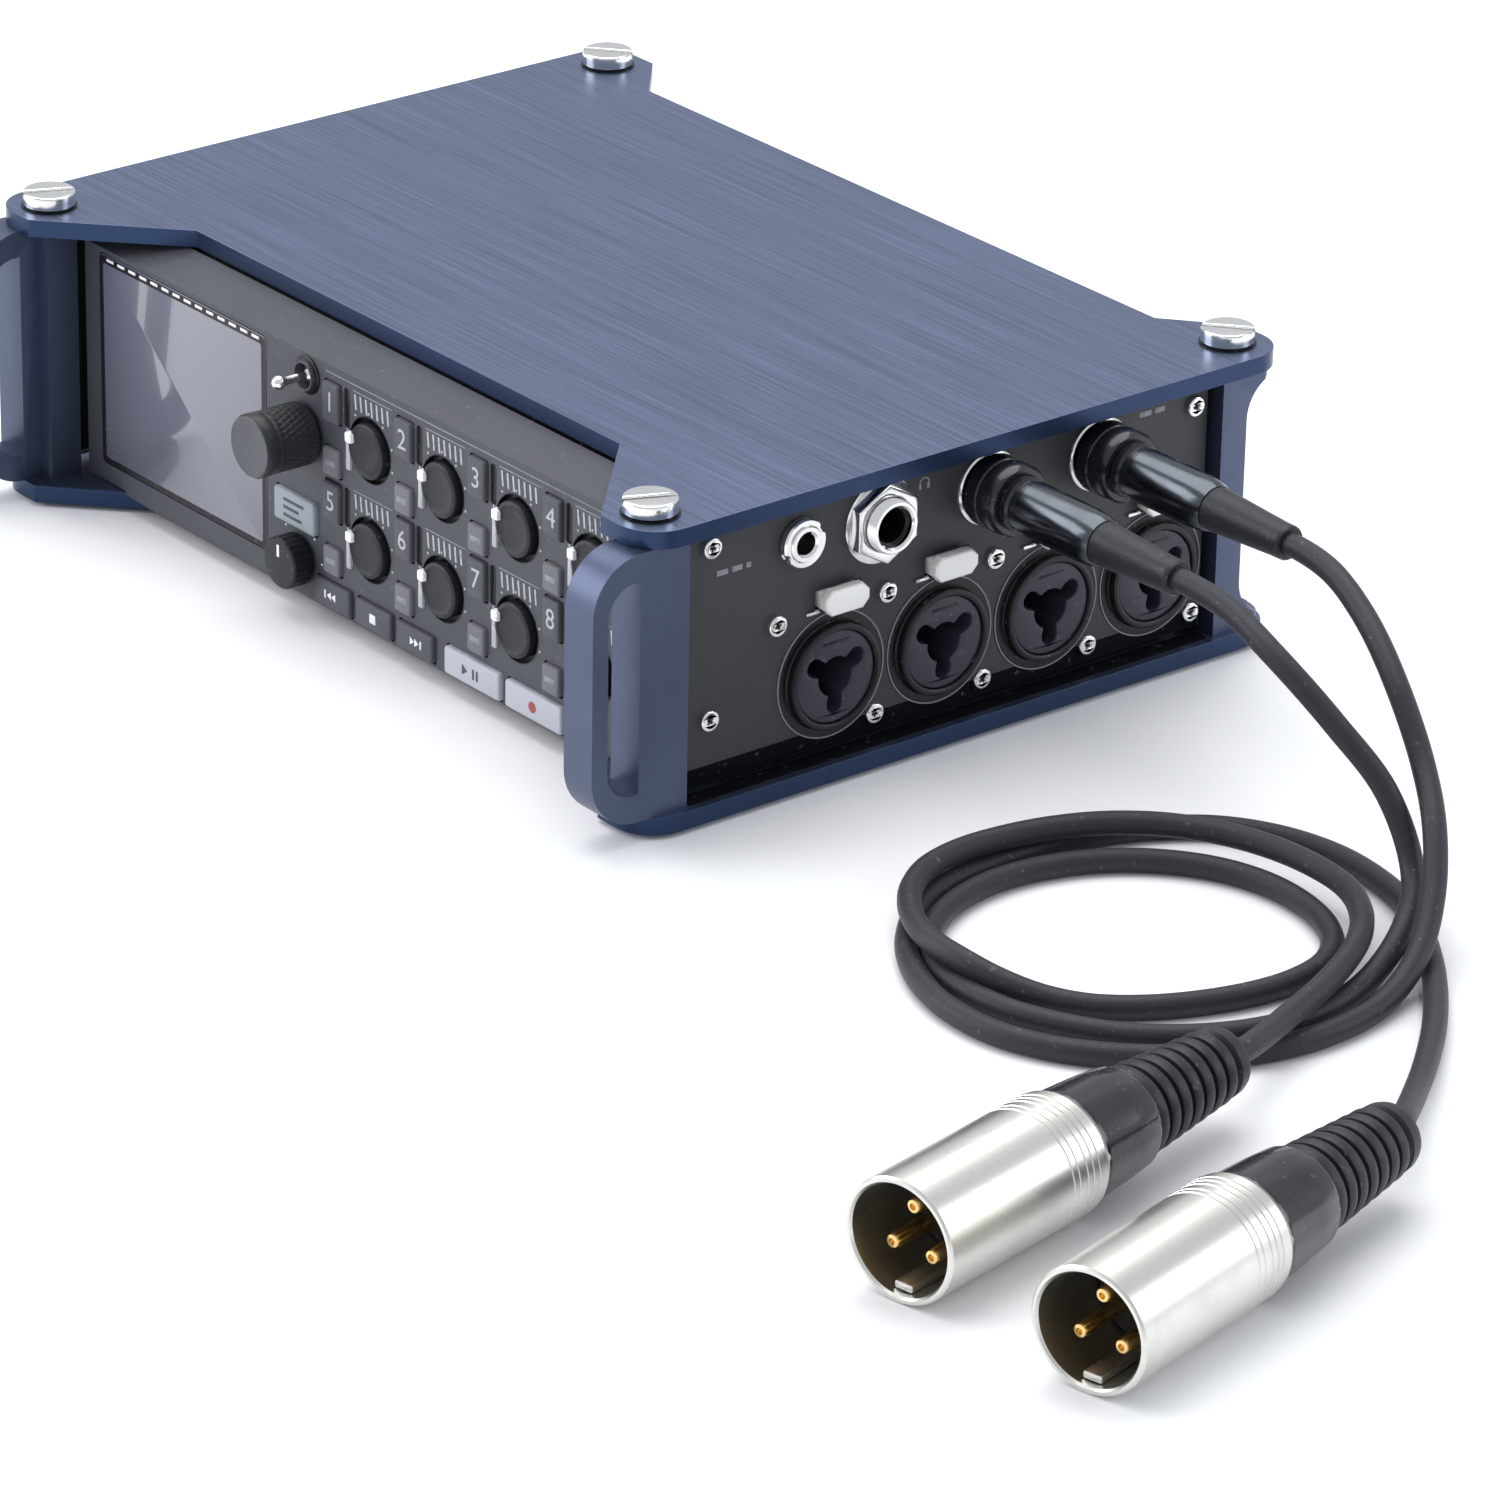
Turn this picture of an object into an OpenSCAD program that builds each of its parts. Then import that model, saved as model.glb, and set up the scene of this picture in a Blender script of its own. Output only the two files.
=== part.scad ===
/* [Body] */
// Width over the side edges of the two plates
body_w = 178.2; // [176:0.1:182]
// Depth from the front bumpers to the rear ears
body_d = 140.2; // [139:0.1:142]
// Height from the feet to the tops of the corner screws
body_h = 54.3; // [54:0.1:55.5]
// Thickness of the top and bottom plates
plate_t = 3; // [2.6:0.1:3.2]
// Height of the rubber feet
foot_h = 0.8; // [0.6:0.1:1.2]
// Corner radius of the plates' ears
ear_r = 7; // [5:0.5:8]
// How far the front edge of each plate lies behind its ears
front_recess = 19.7; // [18:0.1:20]
// How far the rear edge of each plate lies before its ears
rear_recess = 9.2; // [8:0.1:10]

/* [Bumpers] */
// How far the front bumpers stand before the plates' ears
bumper_reach = 9; // [8:0.1:10]
// Width of a bumper across the recorder
bumper_w = 7; // [6:0.1:8]
// Width of the see-through slot, front to rear
slot_w = 6.1; // [5:0.1:6.5]
// Thickness of the bar before the slot
bar_t = 3; // [2.5:0.1:3.5]

/* [Front panel] */
// Distance between neighbouring channels
channel_pitch = 19.5; // [19.2:0.1:19.6]
// Distance between the two rows of channels
row_pitch = 17.3; // [17:0.1:17.5]
// Diameter of a trim knob
trim_d = 10.2; // [9:0.1:10.6]
// Diameter of the menu encoder knob
encoder_d = 10.8; // [10:0.1:12.4]
// How far the encoder knob stands out
encoder_l = 10.7; // [9:0.1:13]
// Diameter of the headphone volume knob
volume_d = 8.9; // [8:0.1:9.4]
// How far a key travels when it is pressed
key_travel = 0.6; // [0.4:0.1:0.7]
// Width of the display window
display_w = 47.5; // [44:0.1:48]
// Height of the display window
display_h = 37.6; // [34:0.1:38]

/* [Side panel] */
// Distance between neighbouring combination jacks
jack_pitch = 22.1; // [21.8:0.1:22.3]
// Diameter of a combination jack's flange
jack_d = 21.2; // [20.5:0.1:21.3]
// Radius of a 6.35 mm socket's hole
phone_bore_r = 3.25; // [3.2:0.01:3.3]
// Radius of a 3.5 mm socket's hole
mini_bore_r = 1.8; // [1.76:0.01:1.85]

/* [Cords] */
// Diameter of the two output cords
cord_d = 3.8; // [3.4:0.1:3.9]
// Outer radius of the cords' loose coil
coil_r = 40.5; // [40:0.5:46]

/* [Hidden] */
$fn = 48;

// Cut tools run past the faces they cut by this much
eps = 0.1;

// Levels of the stack, from the surface it stands on
screw_head_h = 2.7;
bottom_z = foot_h;
floor_z = bottom_z + plate_t;
top_z = body_h - screw_head_h;
roof_z = top_z - plate_t;

// Front and rear of the plates
front_y = -body_d / 2;
rear_y = body_d / 2;
ear_front_y = front_y + bumper_reach;
plate_front_y = ear_front_y + front_recess;
plate_rear_y = rear_y - rear_recess;

// Half widths of the plates' recesses, at the recess and at the ears
front_recess_x = 56.9;
front_ear_x = 77.5;
rear_recess_x = 66.3;
rear_ear_x = 77;

// Corner screws
corner_x = body_w / 2 - 7.9;
corner_front_y = ear_front_y + 6.7;
corner_rear_y = rear_y - 6.8;
corner_thread_l = 2.5;
corner_shank_r = 1.5;
corner_head_r = 4.4;
corner_hole_r = 1.75;

// Bumpers
bumper_x = body_w / 2 - 1.6;
bumper_rear_y = front_y + 18.6;
bumper_r = 9;
slot_r = 5;
slot_z = [8.5, 44];
lug_x = 77.5;
lug_y = bumper_rear_y - 6;
post_y = [57.2, 69.5];
post_waist_y = 62.5;
post_curve_r = 7;

// Side panels
panel_x = body_w / 2 - 4.2;
panel_t = 2;
panel_y = [bumper_rear_y + 0.3, 56.2];
panel_z = [5.2, 47.8];

// Front fascia
face_y = front_y + 19.8;
face_t = 3;
fascia_x = 77;
fascia_z = [1.2, 46];
fascia_back_y = plate_front_y - 0.5;
lip_y = face_y + 2.4;
lip_z = 3.3;
board_y = face_y + 6.7;
board_t = 1.6;

// Display window
display_x = -48.85;
display_z = 26.2;
display_gap = 0.2;

// Channels: place of the first trim knob, and what stands around each one
trim_x = 3.5;
trim_z = 34.6;
recess_r = trim_d / 2 + 0.6;
recess_depth = 1.4;
knob_proud = 1.1;
shaft_r = 3;
shaft_fit = 0.05;
shaft_end_y = board_y - 0.9;
track_key = [-9.9, 5.2, 4.4, 6.8];
listen_key = [-9.9, -5.2, 4.4, 4.8];
meter_slot = [-6.2, 5.4, 1.6, 6.8];

// Keys of the lower row and the menu: x, z, width, height
rewind_at = [-6.1, 5.9, 9.6, 4.6];
stop_at = [5.1, 5.9, 9.6, 4.6];
forward_at = [16.3, 5.9, 9.6, 4.6];
play_at = [31.6, 5.9, 14.6, 4.8];
record_at = [47.7, 5.9, 14.6, 4.8];
menu_at = [-16.6, 17.5, 11.2, 5.8];
key_fit = 0.25;
key_r = 0.6;
key_proud = 0.8;
key_flange = 0.35;

// Knobs and lever left of the channels
encoder_at = [-14.2, 32.1];
volume_at = [-15.8, 9.4];
volume_l = 3.9;
knob_gap = 0.5;
slate_at = [-13.4, 42.3];
slate_bore_r = 2.2;
slate_boss_r = 2.5;
slate_boss_l = 1.1;
slate_ball_y = face_y + 1.6;
slate_lever_l = 7.4;

// Side jacks: places along the panel and their heights
jack_y = -21.2;
jack_z = 17.2;
jack_depth = 15;
jack_proud = 1.8;
jack_flange_h = 0.3;
jack_bore_l = 12;
jack_count = 4;
tab_off = [1.2, 13];
tab_size = [8.6, 3.2];
tab_fit = 0.2;
tab_proud = 2.7;
mini_at = [-27.9, 41.4];
mini_nut_r = 4.1;
phone_at = [-11.8, 40.8];
phone_nut_r = 6.8;
phone_bush_r = 4.4;
socket_bore_l = 12;
bush_gap = 0.15;
output_at = [[10, 41], [33, 41]];
output_r = 5.6;
output_bore_r = 4.6;

// Screws on the side panels: centres about a jack and at the ends
jack_screws = [[-11.2, 11.2], [8.8, -9]];
end_screws = [[-45.6, 44.9], [-45.6, 15.9], [53.2, 44.3]];
panel_screw_r = 1.8;
panel_screw_h = 1;
panel_shank_r = 0.9;

// Rear panel, its two bayonet sockets and its power socket
rear_panel_y = [55.9, 57.4];
rear_panel_x = 77.2;
bayonet_at = [[-52, 33], [-30, 33]];
bayonet_r = 4.8;
bayonet_bore_r = 4.1;
bayonet_core_r = 2.4;
bayonet_l = 8;
power_at = [48, 32];
power_r = 6;
power_bush_r = 5;
power_pin_ring = 2.2;

// Output plugs
plug_nose_l = 7;
plug_collar_r = 5.5;
plug_collar_x = [86.1, 93];
plug_barrel_r = 4.1;
plug_barrel_x = 113;
plug_end_x = 131;
boot_r = [3.4, 2.3];

// Cord plugs on the ground: lengths from the rim, radii and where their tails lie
xlr_l = 74;
xlr_r = 9.5;
xlr_wall = 1.2;
xlr_open_l = 15;
xlr_shell_l = 35;
xlr_grip_l = 49;
xlr_pin_r = 1.2;
xlr_pin_ring = 4.2;
xlr_grip_r = [8.9, 7.7];
xlr_boot_r = [7.2, 5.4, 3.4];
xlr_nose_l = 2.5;
xlr_tails = [[209, -49.5], [240.4, -46]];
xlr_turns = [11, 13.5];

// Cords: routes by hand, with two rings of the tube to each stretch
cord_sides = 8;
steps = 2;
coil_at = [164, -21];
coil_in_r = 22;
coil_h = 8;
front_lead = [
    [131, 10, 41], [142, 9.2, 40.6], [154, 8, 37.5], [165.5, 10.5, 29.5], [174.5, 13.5, 20.5],
    [182, 12.5, 9.7], [187.5, 6, 6.2],
];
rear_lead = [
    [131, 33, 41], [141, 31.4, 40.7], [152, 28.3, 38], [164, 24, 32.5], [174.4, 20.7, 23.3],
    [183.7, 14.8, 17.2], [190.2, 8.8, 10.8], [194.8, 2.2, 5.9],
];
front_tail = [
    [195.2, -17.6, 6], [200.5, -30, 6.6], [205, -39, 7.9], [208, -45.5, 9], [209, -49.5, 9.5],
];
rear_tail = [
    [181.2, 14.2, 2], [195.2, 4.7, 2], [207.4, -6.4, 2.2], [218.3, -18.6, 3], [226.4, -28.5, 4.6],
    [233.5, -37, 7.2], [238.3, -43, 9], [240.4, -46, 9.5],
];

// ---------------------------------------------------------------- helpers

// Extrudes an outline drawn in y and z from x = x0 to x = x1
module along_x(x0, x1) {
    translate([x0, 0, 0]) rotate([90, 0, 90]) linear_extrude(x1 - x0) children();
}

// Extrudes an outline drawn in x and z from y = y0 to y = y1
module along_y(y0, y1) {
    translate([0, y1, 0]) rotate([90, 0, 0]) linear_extrude(y1 - y0) children();
}

// A round bar along x
module rod_x(x0, x1, y, z, r) {
    translate([x0, y, z]) rotate([0, 90, 0]) cylinder(h = x1 - x0, r = r);
}

// A round bar along y
module rod_y(y0, y1, x, z, r) {
    translate([x, y1, z]) rotate([90, 0, 0]) cylinder(h = y1 - y0, r = r);
}

// A rectangle with four round corners about its centre
module rounded(w, h, r) {
    square([w - 2 * r, h], center = true);
    square([w, h - 2 * r], center = true);
    for (x = [r - w / 2, w / 2 - r], y = [r - h / 2, h / 2 - r]) translate([x, y]) circle(r);
}

// A rectangle whose two corners on the low side are round
module round_nosed(y0, y1, z0, z1, r) {
    translate([y0 + r, z0]) square([y1 - y0 - r, z1 - z0]);
    translate([y0, z0 + r]) square([min(r, y1 - y0), z1 - z0 - 2 * r]);
    intersection() {
        for (z = [z0 + r, z1 - r]) translate([y0 + r, z]) circle(r);
        translate([y0, z0]) square([y1 - y0, z1 - z0]);
    }
}

// Children on both sides of the recorder
module both_sides() {
    children();
    mirror([1, 0, 0]) children();
}

function trim_at(i) = [
    trim_x + channel_pitch * ((i - 1) % 4),
    trim_z - row_pitch * floor((i - 1) / 4),
];
function around(i, at) = [trim_at(i).x + at[0], trim_at(i).y + at[1], at[2], at[3]];
function jack_at(i) = [jack_y + jack_pitch * (i - 1), jack_z];
function panel_key_holes() = [
    rewind_at, stop_at, forward_at, play_at, record_at, menu_at,
    for (i = [1 : 8]) each [around(i, track_key), around(i, listen_key)],
];
function corner_places() = [
    for (side = [-1, 1], y = [corner_front_y, corner_rear_y]) [side * corner_x, y],
];

// ------------------------------------------------------------------ plates

module plate_outline() {
    corner = body_w / 2 - ear_r;
    both_sides() {
        polygon([
            [0, plate_front_y], [front_recess_x, plate_front_y], [front_ear_x, ear_front_y],
            [corner, ear_front_y], [body_w / 2, ear_front_y + ear_r], [body_w / 2, rear_y - ear_r],
            [corner, rear_y], [rear_ear_x, rear_y], [rear_recess_x, plate_rear_y],
            [0, plate_rear_y],
        ]);
        translate([corner, ear_front_y + ear_r]) circle(ear_r);
        translate([corner, rear_y - ear_r]) circle(ear_r);
    }
}

module plate(z, hole_r) {
    difference() {
        translate([0, 0, z]) linear_extrude(plate_t) plate_outline();
        for (at = corner_places()) {
            translate([at.x, at.y, z - eps]) cylinder(h = plate_t + 2 * eps, r = hole_r);
        }
    }
}

module bottom_plate() {
    color("#3c4a6e") plate(bottom_z, corner_hole_r);
}

module top_plate() {
    color("#70799a") plate(roof_z, corner_shank_r + 0.1);
}

module feet() {
    color("#202225") for (x = [-62, 62], y = [-32, 46]) {
        translate([x, y, 0]) cylinder(h = foot_h, r = 5);
    }
}

// ----------------------------------------------------------------- bumpers

module front_bumper() {
    slot_y = front_y + bar_t;
    along_x(bumper_x - bumper_w, bumper_x) difference() {
        round_nosed(front_y, bumper_rear_y, floor_z, roof_z, bumper_r);
        round_nosed(slot_y, slot_y + slot_w, slot_z[0], slot_z[1], slot_r);
    }
    translate([lug_x, lug_y, floor_z]) {
        cube([bumper_x - bumper_w - lug_x, bumper_rear_y - lug_y, roof_z - floor_z]);
    }
}

module rear_bumper() {
    low = floor_z + post_curve_r + 1.2;
    high = roof_z - post_curve_r - 1.2;
    difference() {
        along_x(lug_x, bumper_x) difference() {
            translate([post_y[0], floor_z]) square([post_y[1] - post_y[0], roof_z - floor_z]);
            translate([post_waist_y, low]) square([post_curve_r + eps, high - low]);
            for (z = [low, high]) translate([post_y[1], z]) circle(post_curve_r);
        }
        translate([body_w / 2 - ear_r, rear_y - ear_r, floor_z - eps]) difference() {
            cube([ear_r + 1, ear_r + 1, roof_z - floor_z + 2 * eps]);
            translate([0, 0, -eps]) cylinder(h = roof_z - floor_z + 4 * eps, r = ear_r - 0.8);
        }
    }
}

module corner_bumpers() {
    color("#4a5572") difference() {
        both_sides() {
            front_bumper();
            rear_bumper();
        }
        for (at = corner_places()) translate([at.x, at.y, 0]) {
            translate([0, 0, roof_z - corner_thread_l]) cylinder(h = 10, r = corner_shank_r);
            translate([0, 0, floor_z - eps]) {
                cylinder(h = corner_thread_l + eps, r = corner_hole_r);
            }
        }
    }
}

module corner_screws() {
    color("#cdd3d8") for (at = corner_places()) translate([at.x, at.y, 0]) {
        translate([0, 0, roof_z - corner_thread_l]) {
            cylinder(h = plate_t + corner_thread_l, r = corner_shank_r);
        }
        difference() {
            translate([0, 0, top_z]) cylinder(h = screw_head_h, r = corner_head_r);
            translate([-6, -0.6, top_z + 1.3]) cube([12, 1.2, 2]);
        }
    }
}

// ------------------------------------------------------------- side panels

module panel_screw_places() {
    for (i = [1 : jack_count], s = jack_screws) {
        translate([0, jack_at(i).x + s.x, jack_at(i).y + s.y]) children();
    }
    for (s = end_screws) translate([0, s.x, s.y]) children();
}

module panel_blank() {
    difference() {
        translate([panel_x - panel_t, panel_y[0], panel_z[0]]) {
            cube([panel_t, panel_y[1] - panel_y[0], panel_z[1] - panel_z[0]]);
        }
        for (i = [1 : jack_count]) {
            rod_x(panel_x - 5, panel_x + 5, jack_at(i).x, jack_at(i).y, jack_d / 2 + 0.1);
            tab_hole(i);
        }
        panel_screw_places() rod_x(panel_x - 5, panel_x + 5, 0, 0, panel_shank_r);
    }
}

module tab_hole(i) {
    translate([panel_x - 5, jack_at(i).x + tab_off.x, jack_at(i).y + tab_off.y]) {
        translate([0, -tab_size.x / 2 - tab_fit, -tab_size.y / 2 - tab_fit]) {
            cube([10, tab_size.x + 2 * tab_fit, tab_size.y + 2 * tab_fit]);
        }
    }
}

module side_panel_right() {
    color("#34373d") difference() {
        panel_blank();
        rod_x(panel_x - 5, panel_x + 5, mini_at.x, mini_at.y, 3 + bush_gap);
        rod_x(panel_x - 5, panel_x + 5, phone_at.x, phone_at.y, phone_bush_r + bush_gap);
        for (at = output_at) {
            rod_x(panel_x - 5, panel_x + 5, at.x, at.y, output_r + bush_gap);
        }
    }
}

module side_panel_left() {
    color("#34373d") mirror([1, 0, 0]) panel_blank();
}

module panel_screw() {
    rod_x(panel_x - panel_t - 1, panel_x, 0, 0, panel_shank_r);
    difference() {
        rod_x(panel_x, panel_x + panel_screw_h, 0, 0, panel_screw_r);
        translate([panel_x + 0.4, 0, 0]) rotate([0, 90, 0]) cylinder(h = 2, r = 0.9, $fn = 6);
    }
}

module panel_screws() {
    color("#c8cdd2") both_sides() panel_screw_places() panel_screw();
}

// Combination jack: a flange and a raised, dished hub, whose socket has three pin holes round it
module combo_jack(at) {
    face_x = panel_x + jack_proud;
    difference() {
        union() {
            rod_x(face_x - jack_depth, panel_x + jack_flange_h, at.x, at.y, jack_d / 2);
            rod_x(panel_x, face_x, at.x, at.y, jack_d / 2 - 1.6);
        }
        rod_x(face_x - 0.5, face_x + 1, at.x, at.y, jack_d / 2 - 2.6);
        rod_x(face_x - jack_bore_l, face_x + 1, at.x, at.y, phone_bore_r);
        for (a = [30, 150, 270]) {
            rod_x(face_x - 8, face_x, at.x + 4.7 * cos(a), at.y + 4.7 * sin(a), 1.6);
        }
    }
}

module combo_jacks() {
    color("#2c2d33") both_sides() for (i = [1 : jack_count]) combo_jack(jack_at(i));
}

module release_tab(i) {
    at = jack_at(i) + tab_off;
    low = at.y - tab_size.y / 2;
    high = at.y + tab_size.y / 2;
    color("#d8dadc") along_y(at.x - tab_size.x / 2, at.x + tab_size.x / 2) polygon([
        [panel_x - 5, low], [panel_x + tab_proud, low], [panel_x + tab_proud, low + 0.7],
        [panel_x + 0.9, high], [panel_x - 5, high],
    ]);
}

// 3.5 mm socket with a round nut and 6.35 mm socket with a hexagon nut
module monitor_jacks() {
    color("#cfd2d4") {
        difference() {
            union() {
                rod_x(panel_x - 13, panel_x + 2, mini_at.x, mini_at.y, 3);
                rod_x(panel_x, panel_x + 1.6, mini_at.x, mini_at.y, mini_nut_r);
            }
            rod_x(panel_x + 2 - socket_bore_l, panel_x + 3, mini_at.x, mini_at.y, mini_bore_r);
        }
        difference() {
            union() {
                rod_x(panel_x - 13, panel_x + 4, phone_at.x, phone_at.y, phone_bush_r);
                translate([panel_x, phone_at.x, phone_at.y]) rotate([0, 90, 0]) {
                    cylinder(h = 2.6, r = phone_nut_r, $fn = 6);
                }
            }
            rod_x(panel_x + 4 - socket_bore_l, panel_x + 5, phone_at.x, phone_at.y, phone_bore_r);
        }
    }
}

module output_sockets() {
    color("#cfd2d4") for (at = output_at) difference() {
        rod_x(panel_x - 10, panel_x + 0.8, at.x, at.y, output_r);
        rod_x(panel_x - 8, panel_x + 2, at.x, at.y, output_bore_r);
    }
}

// ------------------------------------------------------------ front fascia

module key_outline(at, grow) {
    translate([at[0], at[1]]) rounded(at[2] + 2 * grow, at[3] + 2 * grow, key_r);
}

module fascia_shell() {
    difference() {
        along_x(-fascia_x, fascia_x) polygon([
            [face_y, lip_z], [lip_y, fascia_z[0]], [fascia_back_y, fascia_z[0]],
            [fascia_back_y, roof_z - 0.3], [face_y, fascia_z[1]],
        ]);
        along_x(-fascia_x + 2, fascia_x - 2) polygon([
            [face_y + face_t, lip_z - 0.5], [fascia_back_y + 1, lip_z - 0.5],
            [fascia_back_y + 1, roof_z - 2.2], [face_y + face_t, fascia_z[1] - 0.6],
        ]);
        linear_extrude(floor_z + 0.2) plate_outline();
    }
}

module front_fascia() {
    color("#43464d") difference() {
        union() {
            fascia_shell();
            rod_y(face_y - slate_boss_l, face_y + 1, slate_at.x, slate_at.y, slate_boss_r);
        }
        along_y(face_y - 1, face_y + face_t + eps) {
            for (at = panel_key_holes()) key_outline(at, key_fit);
            translate([display_x, display_z]) {
                rounded(display_w + 2 * display_gap, display_h + 2 * display_gap, 1);
            }
        }
        for (i = [1 : 8]) {
            rod_y(face_y - 1, face_y + recess_depth, trim_at(i).x, trim_at(i).y, recess_r);
            shaft_hole(trim_at(i));
            along_y(face_y - 1, face_y + 0.8) key_outline(around(i, meter_slot), 0);
        }
        shaft_hole(encoder_at);
        shaft_hole(volume_at);
        rod_y(face_y - 3, face_y + face_t + eps, slate_at.x, slate_at.y, slate_bore_r);
    }
}

module shaft_hole(at) {
    rod_y(face_y - 1, face_y + face_t + eps, at.x, at.y, shaft_r + shaft_fit);
}

module display_window() {
    color("#9aa1ab") along_y(face_y - 0.2, face_y + face_t) {
        translate([display_x, display_z]) rounded(display_w, display_h, 0.9);
    }
}

module trim_knob(i) {
    at = trim_at(i);
    color("#2b2c31") {
        rod_y(face_y - knob_proud, face_y + recess_depth - 0.2, at.x, at.y, trim_d / 2);
        rod_y(face_y + recess_depth - 0.2, shaft_end_y, at.x, at.y, shaft_r);
    }
    color("white") {
        rod_y(face_y - knob_proud - 0.6, face_y - knob_proud, at.x - 3.8, at.y + 1.4, 0.9);
    }
}

// A key: cap through the fascia, a rim behind it and a plunger to its switch
module panel_key(at, tint) {
    color(tint) {
        along_y(face_y - key_proud, face_y + face_t + 0.3) key_outline(at, 0);
        along_y(face_y + face_t + 0.3, face_y + face_t + 1.1) key_outline(at, key_flange);
        rod_y(face_y + face_t + 1.1, shaft_end_y, at[0], at[1], 0.9);
    }
}

module round_knob(at, r, l) {
    rod_y(face_y - knob_gap - l, face_y - knob_gap, at.x, at.y, r);
    rod_y(face_y - knob_gap, shaft_end_y, at.x, at.y, shaft_r);
}

module encoder_knob() {
    color("#4b4d52") round_knob(encoder_at, encoder_d / 2, encoder_l);
}

module volume_knob() {
    color("#232428") round_knob(volume_at, volume_d / 2, volume_l);
}

// A ball that turns in its bore, a stem and a round tip
module slate_lever() {
    color("#c9cdd1") {
        translate([slate_at.x, slate_ball_y, slate_at.y]) sphere(r = slate_bore_r - shaft_fit);
        rod_y(slate_ball_y - slate_lever_l, slate_ball_y, slate_at.x, slate_at.y, 0.8);
        translate([slate_at.x, slate_ball_y - slate_lever_l, slate_at.y]) sphere(r = 1.2);
    }
}

// ------------------------------------------------------- inside and behind

module circuit_boards() {
    color("#1d5a3c") {
        translate([-74, board_y, 5]) cube([148, board_t, 39]);
        translate([-66, board_y + board_t, 25]) cube([132, 90, board_t]);
    }
}

module rear_panel() {
    color("#34373d") difference() {
        translate([-rear_panel_x, rear_panel_y[0], floor_z]) {
            cube([2 * rear_panel_x, rear_panel_y[1] - rear_panel_y[0], roof_z - floor_z]);
        }
        for (at = bayonet_at) {
            rod_y(rear_panel_y[0] - 1, rear_panel_y[1] + 1, at.x, at.y, bayonet_r + bush_gap);
        }
        rod_y(
            rear_panel_y[0] - 1, rear_panel_y[1] + 1, power_at.x, power_at.y,
            power_bush_r + bush_gap
        );
    }
}

module bayonet_socket(at) {
    difference() {
        rod_y(rear_panel_y[0] - 4, rear_panel_y[1] + bayonet_l, at.x, at.y, bayonet_r);
        difference() {
            rod_y(rear_panel_y[0], rear_panel_y[1] + bayonet_l + 1, at.x, at.y, bayonet_bore_r);
            rod_y(rear_panel_y[0] - 1, rear_panel_y[1] + bayonet_l - 2, at.x, at.y, bayonet_core_r);
        }
    }
    rod_y(rear_panel_y[1], rear_panel_y[1] + 1.2, at.x, at.y, bayonet_r + 1.5);
}

module power_socket(at) {
    difference() {
        union() {
            rod_y(rear_panel_y[0] - 6, rear_panel_y[1], at.x, at.y, power_bush_r);
            rod_y(rear_panel_y[1], rear_panel_y[1] + 1.5, at.x, at.y, power_r);
        }
        rod_y(rear_panel_y[1] + 0.5, rear_panel_y[1] + 3, at.x, at.y, power_bush_r - 0.6);
        for (a = [45 : 90 : 315]) {
            pin = at + power_pin_ring * [cos(a), sin(a)];
            rod_y(rear_panel_y[0] - 3, rear_panel_y[1] + 3, pin.x, pin.y, 0.6);
        }
    }
}

module rear_sockets() {
    color("#cfd2d4") {
        for (at = bayonet_at) bayonet_socket(at);
        power_socket(power_at);
    }
}

// ------------------------------------------------------------------- cords

function unit(v) = v / norm(v);
function spline(a, b, c, d, t) = 0.5 * (
    2 * b + (c - a) * t + (2 * a - 5 * b + 4 * c - d) * t ^ 2 + (3 * b - a - 3 * c + d) * t ^ 3);
function smooth(p) = let (n = len(p)) [
    for (i = [0 : n - 2], s = [0 : steps - 1]) spline(
        p[max(i - 1, 0)], p[i], p[i + 1], p[min(i + 2, n - 1)], s / steps),
    p[n - 1],
];
function ring(p, i) = let (
    ahead = unit(p[min(i + 1, len(p) - 1)] - p[max(i - 1, 0)]),
    side = unit(cross(ahead, [0, 0, 1])),
    up = cross(side, ahead)
) [
    for (k = [0 : cord_sides - 1]) let (a = 360 * k / cord_sides)
        p[i] + cord_d / 2 * (cos(a) * side + sin(a) * up),
];

// An eight-sided tube swept along a route
module cord_tube(route) {
    p = smooth(route);
    n = len(p);
    polyhedron(
        points = [for (i = [0 : n - 1]) each ring(p, i)],
        faces = [
            [for (k = [0 : cord_sides - 1]) k],
            for (i = [0 : n - 2], k = [0 : cord_sides - 1]) let (m = (k + 1) % cord_sides) [
                i * cord_sides + k, (i + 1) * cord_sides + k,
                (i + 1) * cord_sides + m, i * cord_sides + m,
            ],
            [for (k = [cord_sides - 1 : -1 : 0]) (n - 1) * cord_sides + k],
        ]
    );
}

module cord_coil() {
    color("#464953") translate([coil_at.x, coil_at.y, 0]) rotate_extrude() {
        translate([coil_in_r, 0]) square([coil_r - coil_in_r, coil_h]);
    }
}

module front_cord_lead() {
    color("#464953") cord_tube(front_lead);
}

module rear_cord_lead() {
    color("#464953") cord_tube(rear_lead);
}

module front_cord_tail() {
    color("#464953") cord_tube(front_tail);
}

module rear_cord_tail() {
    color("#464953") cord_tube(rear_tail);
}

// Plugs in the two output sockets: nose, collar, barrel and tapered boot
module output_plugs() {
    color("#3a3c42") for (at = output_at) {
        translate([0, at.x, at.y]) rotate([0, 90, 0]) rotate_extrude() polygon([
            [0, plug_collar_x[0] - plug_nose_l], [output_bore_r - 0.1, plug_collar_x[0] - plug_nose_l],
            [output_bore_r - 0.1, plug_collar_x[0]], [plug_collar_r, plug_collar_x[0]],
            [plug_collar_r, plug_collar_x[1]], [plug_barrel_r, plug_collar_x[1]],
            [plug_barrel_r, plug_barrel_x], [boot_r[0], plug_barrel_x],
            [boot_r[1], plug_end_x], [0, plug_end_x],
        ]);
    }
}

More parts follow.
